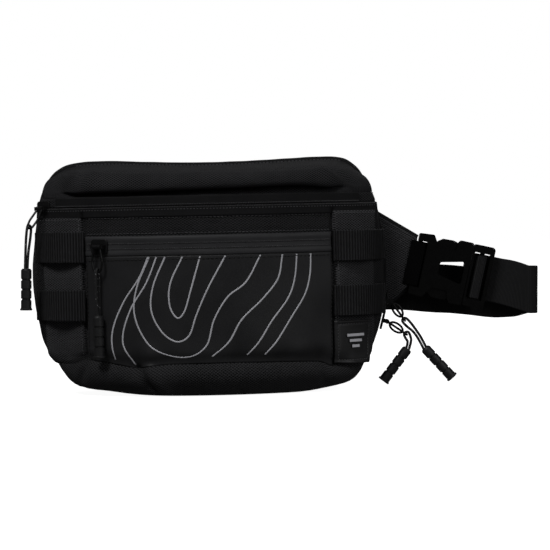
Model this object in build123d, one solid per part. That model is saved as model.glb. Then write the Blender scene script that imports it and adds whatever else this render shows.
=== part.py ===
"""Zipped hip pack with a hinged lid, a front pocket, webbing loops, a hip belt and a side-release buckle.

Millimetres. +Z is up, the wearer's side is +Y and the front faces -Y. The origin is the middle of the
flat base, below the upright axis line x = 0. Both front zips run on circles round one upright axis behind
the bag, and the side zip runs on a circle round an axis along Y, so each slider turns about a true axis.
"""

import math
import os

from build123d import *

# Bag body
HEIGHT = 190.0
BACK_Y = 45.0          # rear face of the back panel
BACK_THICK = 4.0       # the back panel is foam between two fabrics
SKIN = 2.0             # fabric wall
LINING = 1.0
BACK_PAD = (104.0, 7.0, 118.0)   # width, thickness, height of each back pad
BACK_PAD_X = 58.0
BACK_PAD_Z = 98.0
PIPING_R = 1.5
PIPING_LOW_Z = 140.0
AXIS_Y = 155.0         # the upright axis that the front face and both front zips are turned round
FRONT_R = 200.0        # radius of the front face
BASE_R = 184.0         # radius of the front edge of the base
GUSSET_Z = 22.0        # seam between the bottom gusset and the walls
KNEE_R = 16.0          # rounding of the front where the gusset turns under
SIDE_X = -25.0         # centre of the right side's arc, mirrored for the left
SIDE_Z = 99.0
SIDE_R = 170.0
SIDE_LOW_Z = 18.0
SIDE_TOP_Z = 160.0
BASE_HALF = 60.0       # half width of the flat of the base
CORNER = (110.0, 7.5)  # x, z of the lower corner
TOP_HALF = 126.0
GAP = 0.3              # clearance between bodies that move apart
FAR = 400.0            # beyond every face, for cutting

# Zips
ZIP_Z = 153.5          # centre of the lid zip
ZIP_HALF_ANGLE = 44.0
TAPE = 1.0
TAPE_HALF = 8.0
COIL = 1.1             # how far a coil stands off its tape
COIL_HALF = 2.4
LID_NOTCH_ANGLE = 38.2  # the lid's zip ends here each side, clear of the parked slider
NOTCH_Z = 161.5
LID_FRONT_Z = 167.0
LID_KNEE = (-30.0, 179.0)   # y, z where the lid turns from its front to its top
FRONT_HALF_X = 100.0   # seam between the front panel and the side panels
POCKET_ANGLE = 29.9
POCKET_ZIP_Z = 121.8
POCKET_BAND = (113.5, 129.5)
POCKET = 1.8           # thickness of the coated pocket cloth with its backing
POCKET_LOW_Z = 23.5
ROW_OFFSET = 1.3       # each coil row's centre from its zip's centre line
ROW_HALF = 1.1
POCKET_COIL_ANGLE = 28.6
SIDE_ZIP_Y = 30.0
SIDE_ZIP_ANGLES = (-24.0, 16.0)

# Webbing strips, loops and badge
STRIP_ANGLES = (30.7, 42.0)
STRIP_LOW_ANGLE = 40.8
STRIP_STEP_Z = 60.0    # below this the strips are narrower
STRIP_LOW_Z = 22.5
STRIP = 1.2
LOOP_ANGLES = (30.4, 44.2)
LOOP_CENTRES = (74.0, 120.0)
LOOP_WIDTH = 25.0
LOOP_GAP = 6.4
WEBBING = 1.4
BADGE = 34.0
BADGE_THICK = 1.6
BADGE_Z = 41.0
BADGE_ANGLES = (30.9, 40.3)

# Zip pulls
WIRE_R = 0.9
CORD_R = 1.1
STRAND_HALF = 1.3      # half the spacing of a cord's two strands where they enter the grip
RING_LENGTH = 20.0     # from the bridge bar to the middle of the ring's bottom wire
BAR_R = 0.9
BAR_OUT = 5.0          # from the coil's face to the bar
SLIDER = (15.0, 12.0, 1.3)   # along the zip, across it, thick
GRIP_LENGTH = 34.0
GRIP_R = 4.3
GRIP_SEGMENTS = 4
# Each pull: which zip face, its angle along the zip, the zip's height or y, the ring's tilt out from
# hanging, the cord's points as (out, down) from the bar ending at the grip's top, and the grip's tilt
PULLS = {
    "lid": ("front", -41.8, ZIP_Z, 38.0, [(15.6, 37.0), (16.4, 48.5)], 2.0),
    "pocket": ("front", -25.6, POCKET_ZIP_Z, 0.0, [(0.4, 43.0), (0.0, 55.5)], 0.0),
    "side_upper": ("side", -9.4, SIDE_ZIP_Y, 35.0, [(19.2, 24.6), (23.9, 31.7), (27.6, 39.6)], 42.0),
    "side_lower": ("side", -14.9, SIDE_ZIP_Y, 55.0, [(18.8, 17.4), (16.8, 23.2)], -38.0),
}

# Belt and buckle
STRAP = 38.0
STRAP_THICK = 1.6
BELT_Y = 48.0          # middle of the buckle's thickness
BUCKLE_TILT = 13.2
BUCKLE_AT = (170.6, 101.4)   # x, z of the middle of the female part's free end
BUCKLE_HALF = 26.8
BUCKLE_THICK = 12.0
FEMALE_LENGTH = 46.0
SOCKET_HALF = 4.5      # half the socket's opening, across the buckle's thickness
MALE_END = 65.0
BAR_HALF = 2.2         # half the thickness of the ladder lock's bars where the webbing passes
WING_THICK = 6.0
REAR_Y = 66.0          # middle of the belt's rear run
REAR_Z = 75.5
REAR_START_X = -104.0
FOLD_X = 268.5
LOCK_END = 74.0        # where the two layers at the ladder lock become one
LEFT_TIP_X = -72.0


def save(name, shape):
    """Writes one sub-part, whose node takes the file's name."""
    export_step(shape, f"parts/{name}.step")


# ---------------------------------------------------------------- shared shapes

def side_x(z):
    """Half width of the bag at a height, on the side's arc."""
    return SIDE_X + math.sqrt(SIDE_R ** 2 - (z - SIDE_Z) ** 2)


def polar(radius, angle, axis_y=AXIS_Y):
    """Plan position at a radius and an angle from straight ahead, positive towards +X."""
    a = math.radians(angle)
    return (radius * math.sin(a), axis_y - radius * math.cos(a))


def sector(r0, r1, z0, z1, a0, a1):
    """A curved plate round the upright axis."""
    mid = (a0 + a1) / 2
    edges = [
        ThreePointArc(polar(r1, a0), polar(r1, mid), polar(r1, a1)),
        Line(polar(r1, a1), polar(r0, a1)),
        ThreePointArc(polar(r0, a1), polar(r0, mid), polar(r0, a0)),
        Line(polar(r0, a0), polar(r1, a0)),
    ]
    return Pos(0, 0, z0) * extrude(make_face(edges), z1 - z0)


def side_point(radius, angle):
    """x, z at a radius and an angle above level round the right side's own axis."""
    a = math.radians(angle)
    return (SIDE_X + radius * math.cos(a), SIDE_Z + radius * math.sin(a))


def along_y(face, y0, y1):
    """Extrudes a face drawn in x, z from y0 to y1."""
    return extrude(Plane.XZ.offset(-y1) * face, y1 - y0)


def side_sector(r0, r1, y0, y1, a0, a1):
    """A curved plate on the right side, round the side's own axis."""
    mid = (a0 + a1) / 2
    edges = [
        ThreePointArc(side_point(r1, a0), side_point(r1, mid), side_point(r1, a1)),
        Line(side_point(r1, a1), side_point(r0, a1)),
        ThreePointArc(side_point(r0, a1), side_point(r0, mid), side_point(r0, a0)),
        Line(side_point(r0, a0), side_point(r1, a0)),
    ]
    return along_y(make_face(edges), y0, y1)


def block(x0, x1, y0, y1, z0, z1):
    """A box between two corners."""
    size = Box(x1 - x0, y1 - y0, z1 - z0)
    return Pos((x0 + x1) / 2, (y0 + y1) / 2, (z0 + z1) / 2) * size


def outline():
    """The bag's front outline in x, z."""
    low, top = (side_x(SIDE_LOW_Z), SIDE_LOW_Z), (side_x(SIDE_TOP_Z), SIDE_TOP_Z)
    widest = (side_x(SIDE_Z), SIDE_Z)
    edges = []
    for s in (1, -1):
        base, corner, shoulder = (s * BASE_HALF, 0), (s * CORNER[0], CORNER[1]), (s * TOP_HALF, HEIGHT)
        low_s, top_s, wide_s = (s * low[0], low[1]), (s * top[0], top[1]), (s * widest[0], widest[1])
        edges += [Line(base, corner), Line(corner, low_s)]
        edges += [ThreePointArc(low_s, wide_s, top_s), Line(top_s, shoulder)]
    edges += [Line((-BASE_HALF, 0), (BASE_HALF, 0)), Line((-TOP_HALF, HEIGHT), (TOP_HALF, HEIGHT))]
    face = make_face(edges)
    radii = {(BASE_HALF, 0.0): 80.0, CORNER: 22.0, low: 22.0, (TOP_HALF, HEIGHT): 33.0}
    for (x, z), radius in radii.items():
        picked = [v for v in face.vertices() if abs(abs(v.X) - x) < 0.01 and abs(v.Y - z) < 0.01]
        face = fillet(picked, radius)
    return face


def turned_front(inset):
    """The solid of revolution whose outside is the front face, moved in by inset."""
    front, base = FRONT_R - inset, BASE_R - inset
    points = [(0, inset), (base, inset), (front, GUSSET_Z), (front, FAR), (0, FAR)]
    face = make_face(Polyline(*points, close=True))
    knee = [v for v in face.vertices() if abs(v.X - front) < 0.01 and abs(v.Y - GUSSET_Z) < 0.01]
    face = fillet(knee, KNEE_R)
    return Pos(0, AXIS_Y, 0) * revolve(Plane.XZ * face, Axis.Z)


def bag_solid(inset, rear_y):
    """The bag's outer form, moved in by inset all round and ending at rear_y."""
    face = outline() if inset == 0 else offset(outline(), -inset)
    return along_y(face, -60, rear_y) & turned_front(inset)


# ---------------------------------------------------------------- bag body

def body_panels():
    """Back, bottom, front and side panels, lining and piping."""
    outer = bag_solid(0, BACK_Y)
    wall_y = BACK_Y - BACK_THICK
    inner = bag_solid(SKIN, wall_y)
    shell = (outer & block(-FAR, FAR, -FAR, wall_y, -1, FAR)) - inner
    tub_top = ZIP_Z - GAP
    notch_x = polar(FRONT_R, LID_NOTCH_ANGLE)[0]
    save("back_panel", outer & block(-FAR, FAR, wall_y, BACK_Y, -1, FAR))
    save("bottom_gusset", shell & block(-FAR, FAR, -FAR, FAR, -1, GUSSET_Z))
    save("front_panel", shell & block(-FRONT_HALF_X, FRONT_HALF_X, -FAR, FAR, GUSSET_Z, tub_top))
    for name, s in (("left", -1), ("right", 1)):
        near, corner = sorted((s * FRONT_HALF_X, s * FAR)), sorted((s * (notch_x + GAP), s * FAR))
        panel = shell & block(*near, -FAR, FAR, GUSSET_Z, tub_top)
        save(f"{name}_side_panel", panel + (shell & block(*corner, -FAR, FAR, tub_top - 1, NOTCH_Z)))
    lining = inner & block(-FAR, FAR, -FAR, FAR, 0, tub_top - 6)
    save("lining", lining - bag_solid(SKIN + LINING, wall_y - LINING))
    save_lid(outer, wall_y - GAP, notch_x)
    save_back_details()


def save_lid(outer, rear_y, notch_x):
    """The lid: a sloping top with a front and side walls, open below and behind."""
    def under_slope(drop):
        """Everything below the lid's sloping top, lowered by drop."""
        front = (AXIS_Y - FRONT_R, LID_FRONT_Z - drop)
        knee = (LID_KNEE[0], LID_KNEE[1] - drop)
        points = [(front[0] - 20, 100), (front[0] - 20, front[1]), front, knee]
        points += [(BACK_Y - BACK_THICK, HEIGHT - drop), (60, HEIGHT - drop), (60, 100)]
        face = make_face(Polyline(*points, close=True))
        return Pos(-FAR / 2, 0, 0) * extrude(Plane.YZ * face, FAR)
    low_z = ZIP_Z + GAP
    lid = outer & block(-FAR, FAR, -FAR, rear_y, low_z, FAR) & under_slope(0)
    hollow = bag_solid(SKIN, rear_y + 5) & under_slope(SKIN)
    lid -= hollow & block(-FAR, FAR, -FAR, FAR, low_z - 1, FAR)
    for s in (-1, 1):
        lid -= block(*sorted((s * notch_x, s * FAR)), -FAR, FAR, low_z - 1, NOTCH_Z + GAP)
    save("lid_panel", lid)


def save_back_details():
    """Padding on the back panel and piping along its arched top edge."""
    for name, side in (("back_pad_left", -1), ("back_pad_right", 1)):
        pad = Box(*BACK_PAD)
        pad = fillet(pad.edges().filter_by(Axis.Y), 22)
        pad = fillet(pad.faces().sort_by(Axis.Y)[-1].edges(), 4)
        save(name, Pos(side * BACK_PAD_X, BACK_Y + BACK_PAD[1] / 2, BACK_PAD_Z) * pad)
    arch = [e for e in outline().edges() if e.center().Y > SIDE_TOP_Z - 1]
    path = Plane.XZ.offset(BACK_THICK / 2 - BACK_Y) * Wire(arch)
    tube = sweep(Plane(path @ 0, z_dir=path % 0) * Circle(PIPING_R), path)
    save("top_piping", tube - block(-FAR, FAR, -FAR, FAR, -1, PIPING_LOW_Z) - bag_solid(0, BACK_Y))


# ---------------------------------------------------------------- zips

def save_zips():
    """Tapes and coils of the lid zip, the pocket zip and the side zip."""
    r0, r1 = FRONT_R, FRONT_R + TAPE
    low, high = ZIP_Z - GAP, ZIP_Z + GAP
    full, part = ZIP_HALF_ANGLE, LID_NOTCH_ANGLE
    save("lid_zip_lower_tape", sector(r0, r1, ZIP_Z - TAPE_HALF, low, -full, full))
    save("lid_zip_lower_coil", sector(r1, r1 + COIL, ZIP_Z - COIL_HALF, low, -full, full))
    save("lid_zip_upper_tape", sector(r0, r1, high, ZIP_Z + TAPE_HALF, -part, part))
    save("lid_zip_upper_coil", sector(r1, r1 + COIL, high, ZIP_Z + COIL_HALF, -part, part))
    band = sector(r0, r1, *POCKET_BAND, -POCKET_ANGLE, POCKET_ANGLE)
    save("pocket_zip_tape", band)
    rows = []
    for z in (POCKET_ZIP_Z - ROW_OFFSET, POCKET_ZIP_Z + ROW_OFFSET):
        rows.append(sector(r1, r1 + COIL, z - ROW_HALF, z + ROW_HALF, -POCKET_COIL_ANGLE, POCKET_COIL_ANGLE))
    save("pocket_zip_coil", Compound(children=rows))
    s0, s1 = SIDE_R, SIDE_R + TAPE
    near, far = SIDE_ZIP_Y - TAPE_HALF, SIDE_ZIP_Y + TAPE_HALF
    save("side_zip_tape", side_sector(s0, s1, near, far, *SIDE_ZIP_ANGLES))
    rows = []
    for y in (SIDE_ZIP_Y - ROW_OFFSET, SIDE_ZIP_Y + ROW_OFFSET):
        rows.append(side_sector(s1, s1 + COIL, y - ROW_HALF, y + ROW_HALF, *SIDE_ZIP_ANGLES))
    save("side_zip_coil", Compound(children=rows))
    face = sector(r0, r0 + POCKET, POCKET_LOW_Z, POCKET_BAND[0], -POCKET_ANGLE, POCKET_ANGLE)
    save("pocket_panel", face)


# ---------------------------------------------------------------- strips, loops, badge

def save_strips():
    """The two corner strips, their webbing loops, and the rubber badge on the right strip."""
    base = FRONT_R + STRIP
    for name, s in (("left", -1), ("right", 1)):
        a0, a1 = sorted((s * STRIP_ANGLES[0], s * STRIP_ANGLES[1]))
        b0, b1 = sorted((s * STRIP_ANGLES[0], s * STRIP_LOW_ANGLE))
        upper = sector(FRONT_R, base, STRIP_STEP_Z, ZIP_Z - TAPE_HALF, a0, a1)
        lower = sector(FRONT_R, base, STRIP_LOW_Z, STRIP_STEP_Z, b0, b1)
        save(f"{name}_strip", upper + lower)
        for place, z in zip(("lower", "upper"), LOOP_CENTRES):
            save(f"{name}_{place}_loop", webbing_loop(base + 0.01, s, z))
    badge = sector(base, base + BADGE_THICK, BADGE_Z - BADGE / 2, BADGE_Z + BADGE / 2, *BADGE_ANGLES)
    corners = badge.edges().filter_by(lambda e: abs(e.length - BADGE_THICK) < 0.05)
    save("badge_patch", fillet(corners, 1.2))
    save("badge_emblem", emblem(base + BADGE_THICK))


def webbing_loop(base, side, z):
    """A bowed strip of webbing, sewn down at both ends, with a gap behind its middle."""
    a0, a1 = sorted((side * LOOP_ANGLES[0], side * LOOP_ANGLES[1]))
    mid, foot = (a0 + a1) / 2, 0.9
    outer, inner = base + WEBBING, base
    edges = [
        ThreePointArc(polar(outer, a0), polar(outer + LOOP_GAP, mid), polar(outer, a1)),
        Line(polar(outer, a1), polar(inner, a1)),
        Line(polar(inner, a1), polar(inner, a1 - foot)),
        ThreePointArc(polar(inner, a1 - foot), polar(inner + LOOP_GAP, mid), polar(inner, a0 + foot)),
        Line(polar(inner, a0 + foot), polar(inner, a0)),
        Line(polar(inner, a0), polar(outer, a0)),
    ]
    return Pos(0, 0, z - LOOP_WIDTH / 2) * extrude(make_face(edges), LOOP_WIDTH)


def emblem(base):
    """A generic raised mark: three short level bars that get shorter downwards."""
    middle = sum(BADGE_ANGLES) / 2
    bars = []
    for i, half in enumerate((2.4, 1.7, 1.0)):
        z = BADGE_Z + 4.5 - 4.5 * i
        bars.append(sector(base, base + 0.5, z - 1.1, z + 1.1, middle - half, middle + half))
    return Compound(children=bars)


# ---------------------------------------------------------------- zip pulls

def slider(bar_along_zip):
    """A slider with its bridge, in the pull's own frame: origin on the bridge bar, -Y outwards."""
    length, width, thick = SLIDER
    dx, dz = (length, width) if bar_along_zip else (width, length)
    floor = BAR_OUT - 0.5
    plate = Pos(0, floor - thick / 2, 0) * Box(dx, thick, dz)
    plate = fillet(plate.edges().filter_by(Axis.Y), 2.5)
    plate = fillet(plate.faces().sort_by(Axis.Y)[0].edges(), 0.4)
    bar = Rot(0, 90, 0) * Cylinder(BAR_R, 10.4)
    legs = [Pos(s * 5.0, (floor - thick) / 2 - 0.2, 0) * Box(1.6, floor - thick + 2.0, 3.0) for s in (-1, 1)]
    body = plate + bar
    for leg in legs:
        body += leg
    return body


def ring():
    """The pull ring: an eye that turns on the bridge bar, and a wire loop hanging from it."""
    eye = Rot(0, 90, 0) * (Cylinder(1.9, 7.6) - Cylinder(BAR_R + 0.06, 9))
    points = [(-2.9, -1.4), (-4.7, -12), (-3.2, -RING_LENGTH), (3.2, -RING_LENGTH), (4.7, -12), (2.9, -1.4)]
    flat = FilletPolyline(*points, radius=(6.0, 2.4, 2.4, 6.0))
    path = Plane.XZ * flat
    wire = sweep(Plane(path @ 0, z_dir=path % 0) * Circle(WIRE_R), path)
    return eye + (wire - Rot(0, 90, 0) * Cylinder(1.2, 9))


def grip():
    """A moulded finger grip with its top at the origin, pointing down, waisted between segments."""
    step = (GRIP_LENGTH - 2.0) / GRIP_SEGMENTS
    points = [(0, 0), (3.3, 0), (GRIP_R, -1.4)]
    for i in range(1, GRIP_SEGMENTS):
        z = -1.0 - i * step
        points += [(GRIP_R, z + 0.9), (GRIP_R - 0.8, z + 0.5), (GRIP_R - 0.8, z - 0.5), (GRIP_R, z - 0.9)]
    rim, end = GRIP_R + 0.7, -GRIP_LENGTH
    points += [(GRIP_R, end + 1.9), (rim, end + 1.3), (rim, end + 0.3), (rim - 0.4, end), (0, end)]
    return revolve(Plane.XZ * make_face(Polyline(*points, close=True)), Axis.Z)


def cord_route(tilt, bends, grip_angle):
    """The cord's centre line: up from the grip, over the ring's bottom wire and down again.

    tilt is the ring's angle out from hanging, bends are points of the pair of strands between ring and
    grip as (out, down) from the bar, the last one being the grip's top, and grip_angle is the grip's own.
    """
    t = math.radians(tilt)
    wire = (RING_LENGTH * math.sin(t), RING_LENGTH * math.cos(t))
    first = math.atan2(bends[0][0] - wire[0], bends[0][1] - wire[1])
    turn = WIRE_R + CORD_R + GAP
    lead = 0.42 * math.hypot(bends[0][0] - wire[0], bends[0][1] - wire[1])
    outer, inner = [], []

    def shifted(centre, angle, along, across):
        """A point beside the pair's middle line; across is positive on the outer side."""
        out = centre[0] + along * math.sin(angle) + across * math.cos(angle)
        return (out, centre[1] + along * math.cos(angle) - across * math.sin(angle))

    angles = [math.atan2(b[0] - a[0], b[1] - a[1]) for a, b in zip([wire] + bends[:-1], bends)]
    for side, strand in ((1, outer), (-1, inner)):
        strand.append(shifted(wire, first, -turn, side * turn))
        strand.append(shifted(wire, first, lead, side * turn))
        for centre, before, after in zip(bends[:-1], angles, angles[1:]):
            strand.append(shifted(centre, (before + after) / 2, 0, side * STRAND_HALF))
        strand.append(shifted(bends[-1], math.radians(grip_angle), 0.1, side * STRAND_HALF))
    return outer[::-1] + inner


def cord(route):
    """The cord's tube along its route, with arcs as large as its runs allow."""
    points = [Vector(0, -out, -down) for out, down in route]
    radii = []
    for a, b, c in zip(points, points[1:], points[2:]):
        half = math.radians((b - a).get_angle(c - b)) / 2
        radii.append(0.45 * min((b - a).length, (c - b).length) / math.tan(max(half, 0.01)))
    middle = len(radii) // 2
    for i in (middle - 1, middle):
        radii[i] = WIRE_R + CORD_R + GAP - 0.05
    print("cord radii", [round(r, 1) for r in radii])
    path = FilletPolyline(*points, radius=radii)
    tube = sweep(Plane(path @ 0, z_dir=path % 0) * Circle(CORD_R), path)
    wanted = math.pi * CORD_R ** 2 * path.length
    print("cord length", round(path.length, 1), "volume ratio", round(tube.volume / wanted, 3))
    return tube


def save_pull(name, side, angle, level, tilt, bends, grip_angle):
    """One whole zip pull: slider, ring, cord and grip. level is a front zip's height or a side zip's y."""
    place = front_place(angle, level) if side == "front" else side_place(angle, level)
    save(f"{name}_slider", place["slider"] * slider(side == "front"))
    save(f"{name}_ring", place["pull"] * Rot(-tilt, 0, 0) * ring())
    out, down = bends[-1]
    held = Pos(0, -out, -down) * Rot(-grip_angle, 0, 0) * grip()
    save(f"{name}_cord", place["pull"] * (cord(cord_route(tilt, bends, grip_angle)) - held))
    save(f"{name}_grip", place["pull"] * held)


def front_place(angle, z):
    """Where a pull on a front zip sits: its bar is level and its outward side faces away from the axis."""
    x, y = polar(FRONT_R + TAPE + COIL + BAR_OUT, angle)
    spot = Pos(x, y, z) * Rot(0, 0, angle)
    return {"slider": spot, "pull": spot}


def side_place(angle, y):
    """Where a pull on the side zip sits: its bar runs along Y and its outward side faces +X."""
    x, z = side_point(SIDE_R + TAPE + COIL + BAR_OUT, angle)
    spot = Pos(x, y, z) * Rot(0, 0, 90)
    return {"slider": Pos(x, y, z) * Rot(0, -angle, 0) * Rot(0, 0, 90), "pull": spot}


# ---------------------------------------------------------------- belt and buckle

def in_buckle_frame(shape):
    """Moves a shape drawn along the buckle (x along, y across its thickness, z up) to its place."""
    x, z = BUCKLE_AT
    return Pos(x, BELT_Y, z) * Rot(0, BUCKLE_TILT, 0) * shape


def plate(points, half, radius=0.0):
    """A flat piece in the buckle's plane, half thick each side of the middle."""
    face = make_face(Polyline(*points, close=True))
    if radius:
        face = fillet(face.vertices(), radius)
    return along_y(face, -half, half)


def mirrored(points):
    """The points and their mirror images below the centre line, in order round the outline."""
    return points + [(x, -z) for x, z in reversed(points)]


def save_female():
    """The socket half: shoulders with a webbing bar, a hollow mouth between two faces, and a window."""
    half, thick, web = BUCKLE_HALF, BUCKLE_THICK / 2, STRAP / 2 + 0.5
    ledge = [(0, half - 1), (12, half), (15.5, 21), (18.5, 17), (31.5, 17), (33.5, half - 2.5), (35.5, half)]
    body = plate(mirrored(ledge + [(FEMALE_LENGTH, half)]), thick)
    body = fillet(body.edges().filter_by(Axis.Y), 1.4)
    body -= block(13.5, FEMALE_LENGTH + 1, -SOCKET_HALF, SOCKET_HALF, -half + 1.3, half - 1.3)
    body -= plate(mirrored([(21.5, 5.2), (42, 9.8)]), thick + 1, 1.5)
    body -= block(3.6, 7.9, -20, 20, -web, web)
    body -= block(-1, 7.9, WING_THICK / 2, thick + 1, -web, web)
    body -= block(-1, 7.9, -thick - 1, -WING_THICK / 2, -web, web)
    save("buckle_female", in_buckle_frame(body))


def save_male():
    """The plug half: a ladder frame and its two spring arms, each arm a piece that flexes."""
    half, thick = BUCKLE_HALF - 0.4, BUCKLE_THICK / 2
    frame = plate(mirrored([(FEMALE_LENGTH + 0.6, half), (MALE_END, half)]), thick)
    frame = fillet(frame.edges().filter_by(Axis.Y), 3.0)
    z = STRAP / 2 + 0.8
    for x0, x1, y0, y1 in (
        (48.4, 53.4, -9, 9), (57.0, 61.8, -9, 9), (53.3, 57.1, -9, -BAR_HALF), (45, 70, BAR_HALF, 9)
    ):
        frame -= block(x0, x1, y0, y1, -z, z)
    save("buckle_male", in_buckle_frame(frame))
    arm = [(FEMALE_LENGTH, 12.5), (36, 12.5), (26, 14), (15.2, 14.5), (14.6, 19), (16.5, 22.5), (20.5, 25.1)]
    arm += [(28.5, 25.4), (32, 24.6), (34.5, 21.5), (38, 18), (FEMALE_LENGTH, 18)]
    for name, side in (("buckle_arm_upper", 1), ("buckle_arm_lower", -1)):
        shape = plate([(x, side * z) for x, z in arm], SOCKET_HALF - GAP - 0.1)
        save(name, in_buckle_frame(fillet(shape.edges().filter_by(Axis.Y), 0.6)))


def strap(points, width, centre_z=0.0, thick=STRAP_THICK):
    """A strap whose edge follows points in x, y, and whose width is upright."""
    line = FilletPolyline(*points, radius=1.2) if len(points) > 2 else Line(*points)
    face = trace(line, thick)
    return Pos(0, 0, centre_z - width / 2) * extrude(face, width)


def save_belt():
    """Wings, the webbing that holds the buckle, and the belt's runs."""
    save("right_wing", along_y(wing_outline(), BACK_Y, BACK_Y + WING_THICK))
    turn_y = (WING_THICK + STRAP_THICK) / 2
    bar_loop = [(-17, -turn_y), (6.0, -turn_y), (6.0, turn_y), (-17, turn_y)]
    save("wing_webbing", in_buckle_frame(strap(bar_loop, STRAP)))
    save_left_wing()
    near, far = BAR_HALF + STRAP_THICK / 2, BAR_HALF + 1.5 * STRAP_THICK + GAP
    lock = [(LOCK_END, far), (49.8, far), (52.2, -near), (59.2, -near), (59.2, near), (LOCK_END, near)]
    save("belt_lock_turn", in_buckle_frame(strap(lock, STRAP)))
    x, z = BUCKLE_AT
    c, s, half = math.cos(math.radians(BUCKLE_TILT)), math.sin(math.radians(BUCKLE_TILT)), STRAP / 2
    upper = (x + LOCK_END * c + half * s, z - LOCK_END * s + half * c)
    lower = (x + LOCK_END * c - half * s, z - LOCK_END * s - half * c)
    face = make_face(Polyline(upper, (FOLD_X, REAR_Z + half), (FOLD_X, REAR_Z - half), lower, close=True))
    run_y = BELT_Y + near
    save("belt_front_run", along_y(face, run_y - STRAP_THICK / 2, run_y + STRAP_THICK / 2))
    fold_r = (REAR_Y - run_y) / 2
    middle = (FOLD_X, run_y + fold_r)
    turn = Cylinder(fold_r + STRAP_THICK / 2, STRAP) - Cylinder(fold_r - STRAP_THICK / 2, STRAP + 1)
    turn = turn & block(0, FAR, -FAR, FAR, -FAR, FAR)
    save("belt_fold", Pos(*middle, REAR_Z) * turn)
    save("belt_rear_run", strap([(FOLD_X, REAR_Y), (REAR_START_X, REAR_Y)], STRAP, REAR_Z))


def wing_outline():
    """The right wing's outline in x, z: tall at the bag and a little wider than the webbing at its tip."""
    root = [(118, 66), (118, 146), (137, 146)]
    tip = [(173.6, 123.2), (163.6, 80.6)]
    face = make_face(Polyline(*root, *tip, (146, 64.5), close=True))
    return fillet(face.vertices(), 3.0)


def save_left_wing():
    """The left wing, folded round the bag's edge to lie behind the back pads."""
    y0, y1 = BACK_Y + WING_THICK / 2, REAR_Y - (STRAP_THICK + WING_THICK) / 2
    edge = -141.0
    line = FilletPolyline((-112, y0), (edge, y0), (edge, y1), (LEFT_TIP_X, y1), radius=(y1 - y0) / 2 - 0.1)
    body = Pos(0, 0, 40) * extrude(trace(line, WING_THICK), 120)
    low, high = REAR_Z - STRAP / 2 - 1, REAR_Z + STRAP / 2 + 1
    points = [(-160, 66), (-118, 66), (LEFT_TIP_X, low), (LEFT_TIP_X, high), (-118, 146), (-160, 146)]
    save("left_wing", body & along_y(make_face(Polyline(*points, close=True)), -FAR, FAR))


if __name__ == "__main__":
    os.makedirs("parts", exist_ok=True)
    body_panels()
    save_zips()
    save_strips()
    for pull_name, facts in PULLS.items():
        save_pull(pull_name, *facts)
    save_female()
    save_male()
    save_belt()
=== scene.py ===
"""The hip pack's finished look: sewn fabric, webbing, zips, cords, buckle and a plain studio."""
import math

import bpy
import numpy as np
from mathutils import Matrix, Vector


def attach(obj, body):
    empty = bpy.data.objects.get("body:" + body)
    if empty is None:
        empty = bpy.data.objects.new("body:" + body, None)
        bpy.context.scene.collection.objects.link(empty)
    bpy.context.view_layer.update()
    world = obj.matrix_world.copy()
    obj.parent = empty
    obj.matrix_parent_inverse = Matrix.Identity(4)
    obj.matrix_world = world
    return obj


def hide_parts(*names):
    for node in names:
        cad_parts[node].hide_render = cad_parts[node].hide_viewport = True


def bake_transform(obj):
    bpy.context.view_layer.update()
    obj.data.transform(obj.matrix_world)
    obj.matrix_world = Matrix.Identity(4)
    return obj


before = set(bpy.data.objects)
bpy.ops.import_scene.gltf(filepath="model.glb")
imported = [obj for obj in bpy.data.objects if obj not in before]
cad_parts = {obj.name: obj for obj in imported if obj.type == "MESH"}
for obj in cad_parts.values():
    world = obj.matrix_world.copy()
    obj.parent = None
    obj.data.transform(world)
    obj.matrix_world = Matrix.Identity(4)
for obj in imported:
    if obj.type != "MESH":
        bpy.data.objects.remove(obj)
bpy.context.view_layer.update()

# Everything but the cords' points is in millimetres until a mesh is made. On the bag's wall, s is the distance from
# the middle of the front and v the way up from the base, which is the height from the bottom seam upwards.
MM = 0.001
AXIS_Y = 155.0         # the upright axis that the front is turned round
FRONT_R = 200.0
BACK_Y = 45.0
SEAM_Z = 22.0          # seam between the bottom panel and the walls
WALL_S = 104.5         # seam between the front and the side walls
POCKET_S = 104.4
NOTCH_S = 133.3        # the lid's cloth ends here above its zip
ZIP_Z = 153.5
POCKET_ZIP_Z = 121.8
WALL_TOP = 161.8
SIDE_X, SIDE_Z, SIDE_R = -25.0, 99.0, 170.0     # the right side's own cylinder
SIDE_ZIP_Y = 30.0
BELT_Y, REAR_Y = 48.0, 66.0
PANEL_Y, BINDING_Y = 42.8, 43.2
FOLD_X, FOLD_R = 267.8, 7.5
STRAP, STRAP_THICK = 38.0, 1.7
LOOP_STRAP, LOOP_THICK = 25.0, 1.5
CLOTH = 1.6            # thickness of the wall and lid cloth
BASE_MIDDLE = (0, 10)
LINING_FLOOR = 3.0
UPRIGHT = (0.0, 0.0, 1.0)
SIDES = (("left", -1), ("right", 1))


# ---------------------------------------------------------------- numbers and curves

def curve(x, xs, ys):
    """A smooth curve through points, with no overshoot."""
    xs, ys = np.asarray(xs, float), np.asarray(ys, float)
    h, d = np.diff(xs), np.diff(ys) / np.diff(xs)
    m = np.zeros(len(xs))
    m[0], m[-1] = d[0], d[-1]
    same = d[:-1] * d[1:] > 0
    m[1:-1] = np.where(same, 2 * d[:-1] * d[1:] / np.where(same, d[:-1] + d[1:], 1), 0)
    x = np.clip(np.asarray(x, float), xs[0], xs[-1])
    i = np.clip(np.searchsorted(xs, x, side="right") - 1, 0, len(h) - 1)
    t = (x - xs[i]) / h[i]
    a, b = t * t * (3 - 2 * t), t * (1 - t) ** 2
    return ys[i] * (1 - a) + ys[i + 1] * a + h[i] * (m[i] * b - m[i + 1] * t * t * (1 - t))


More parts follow.
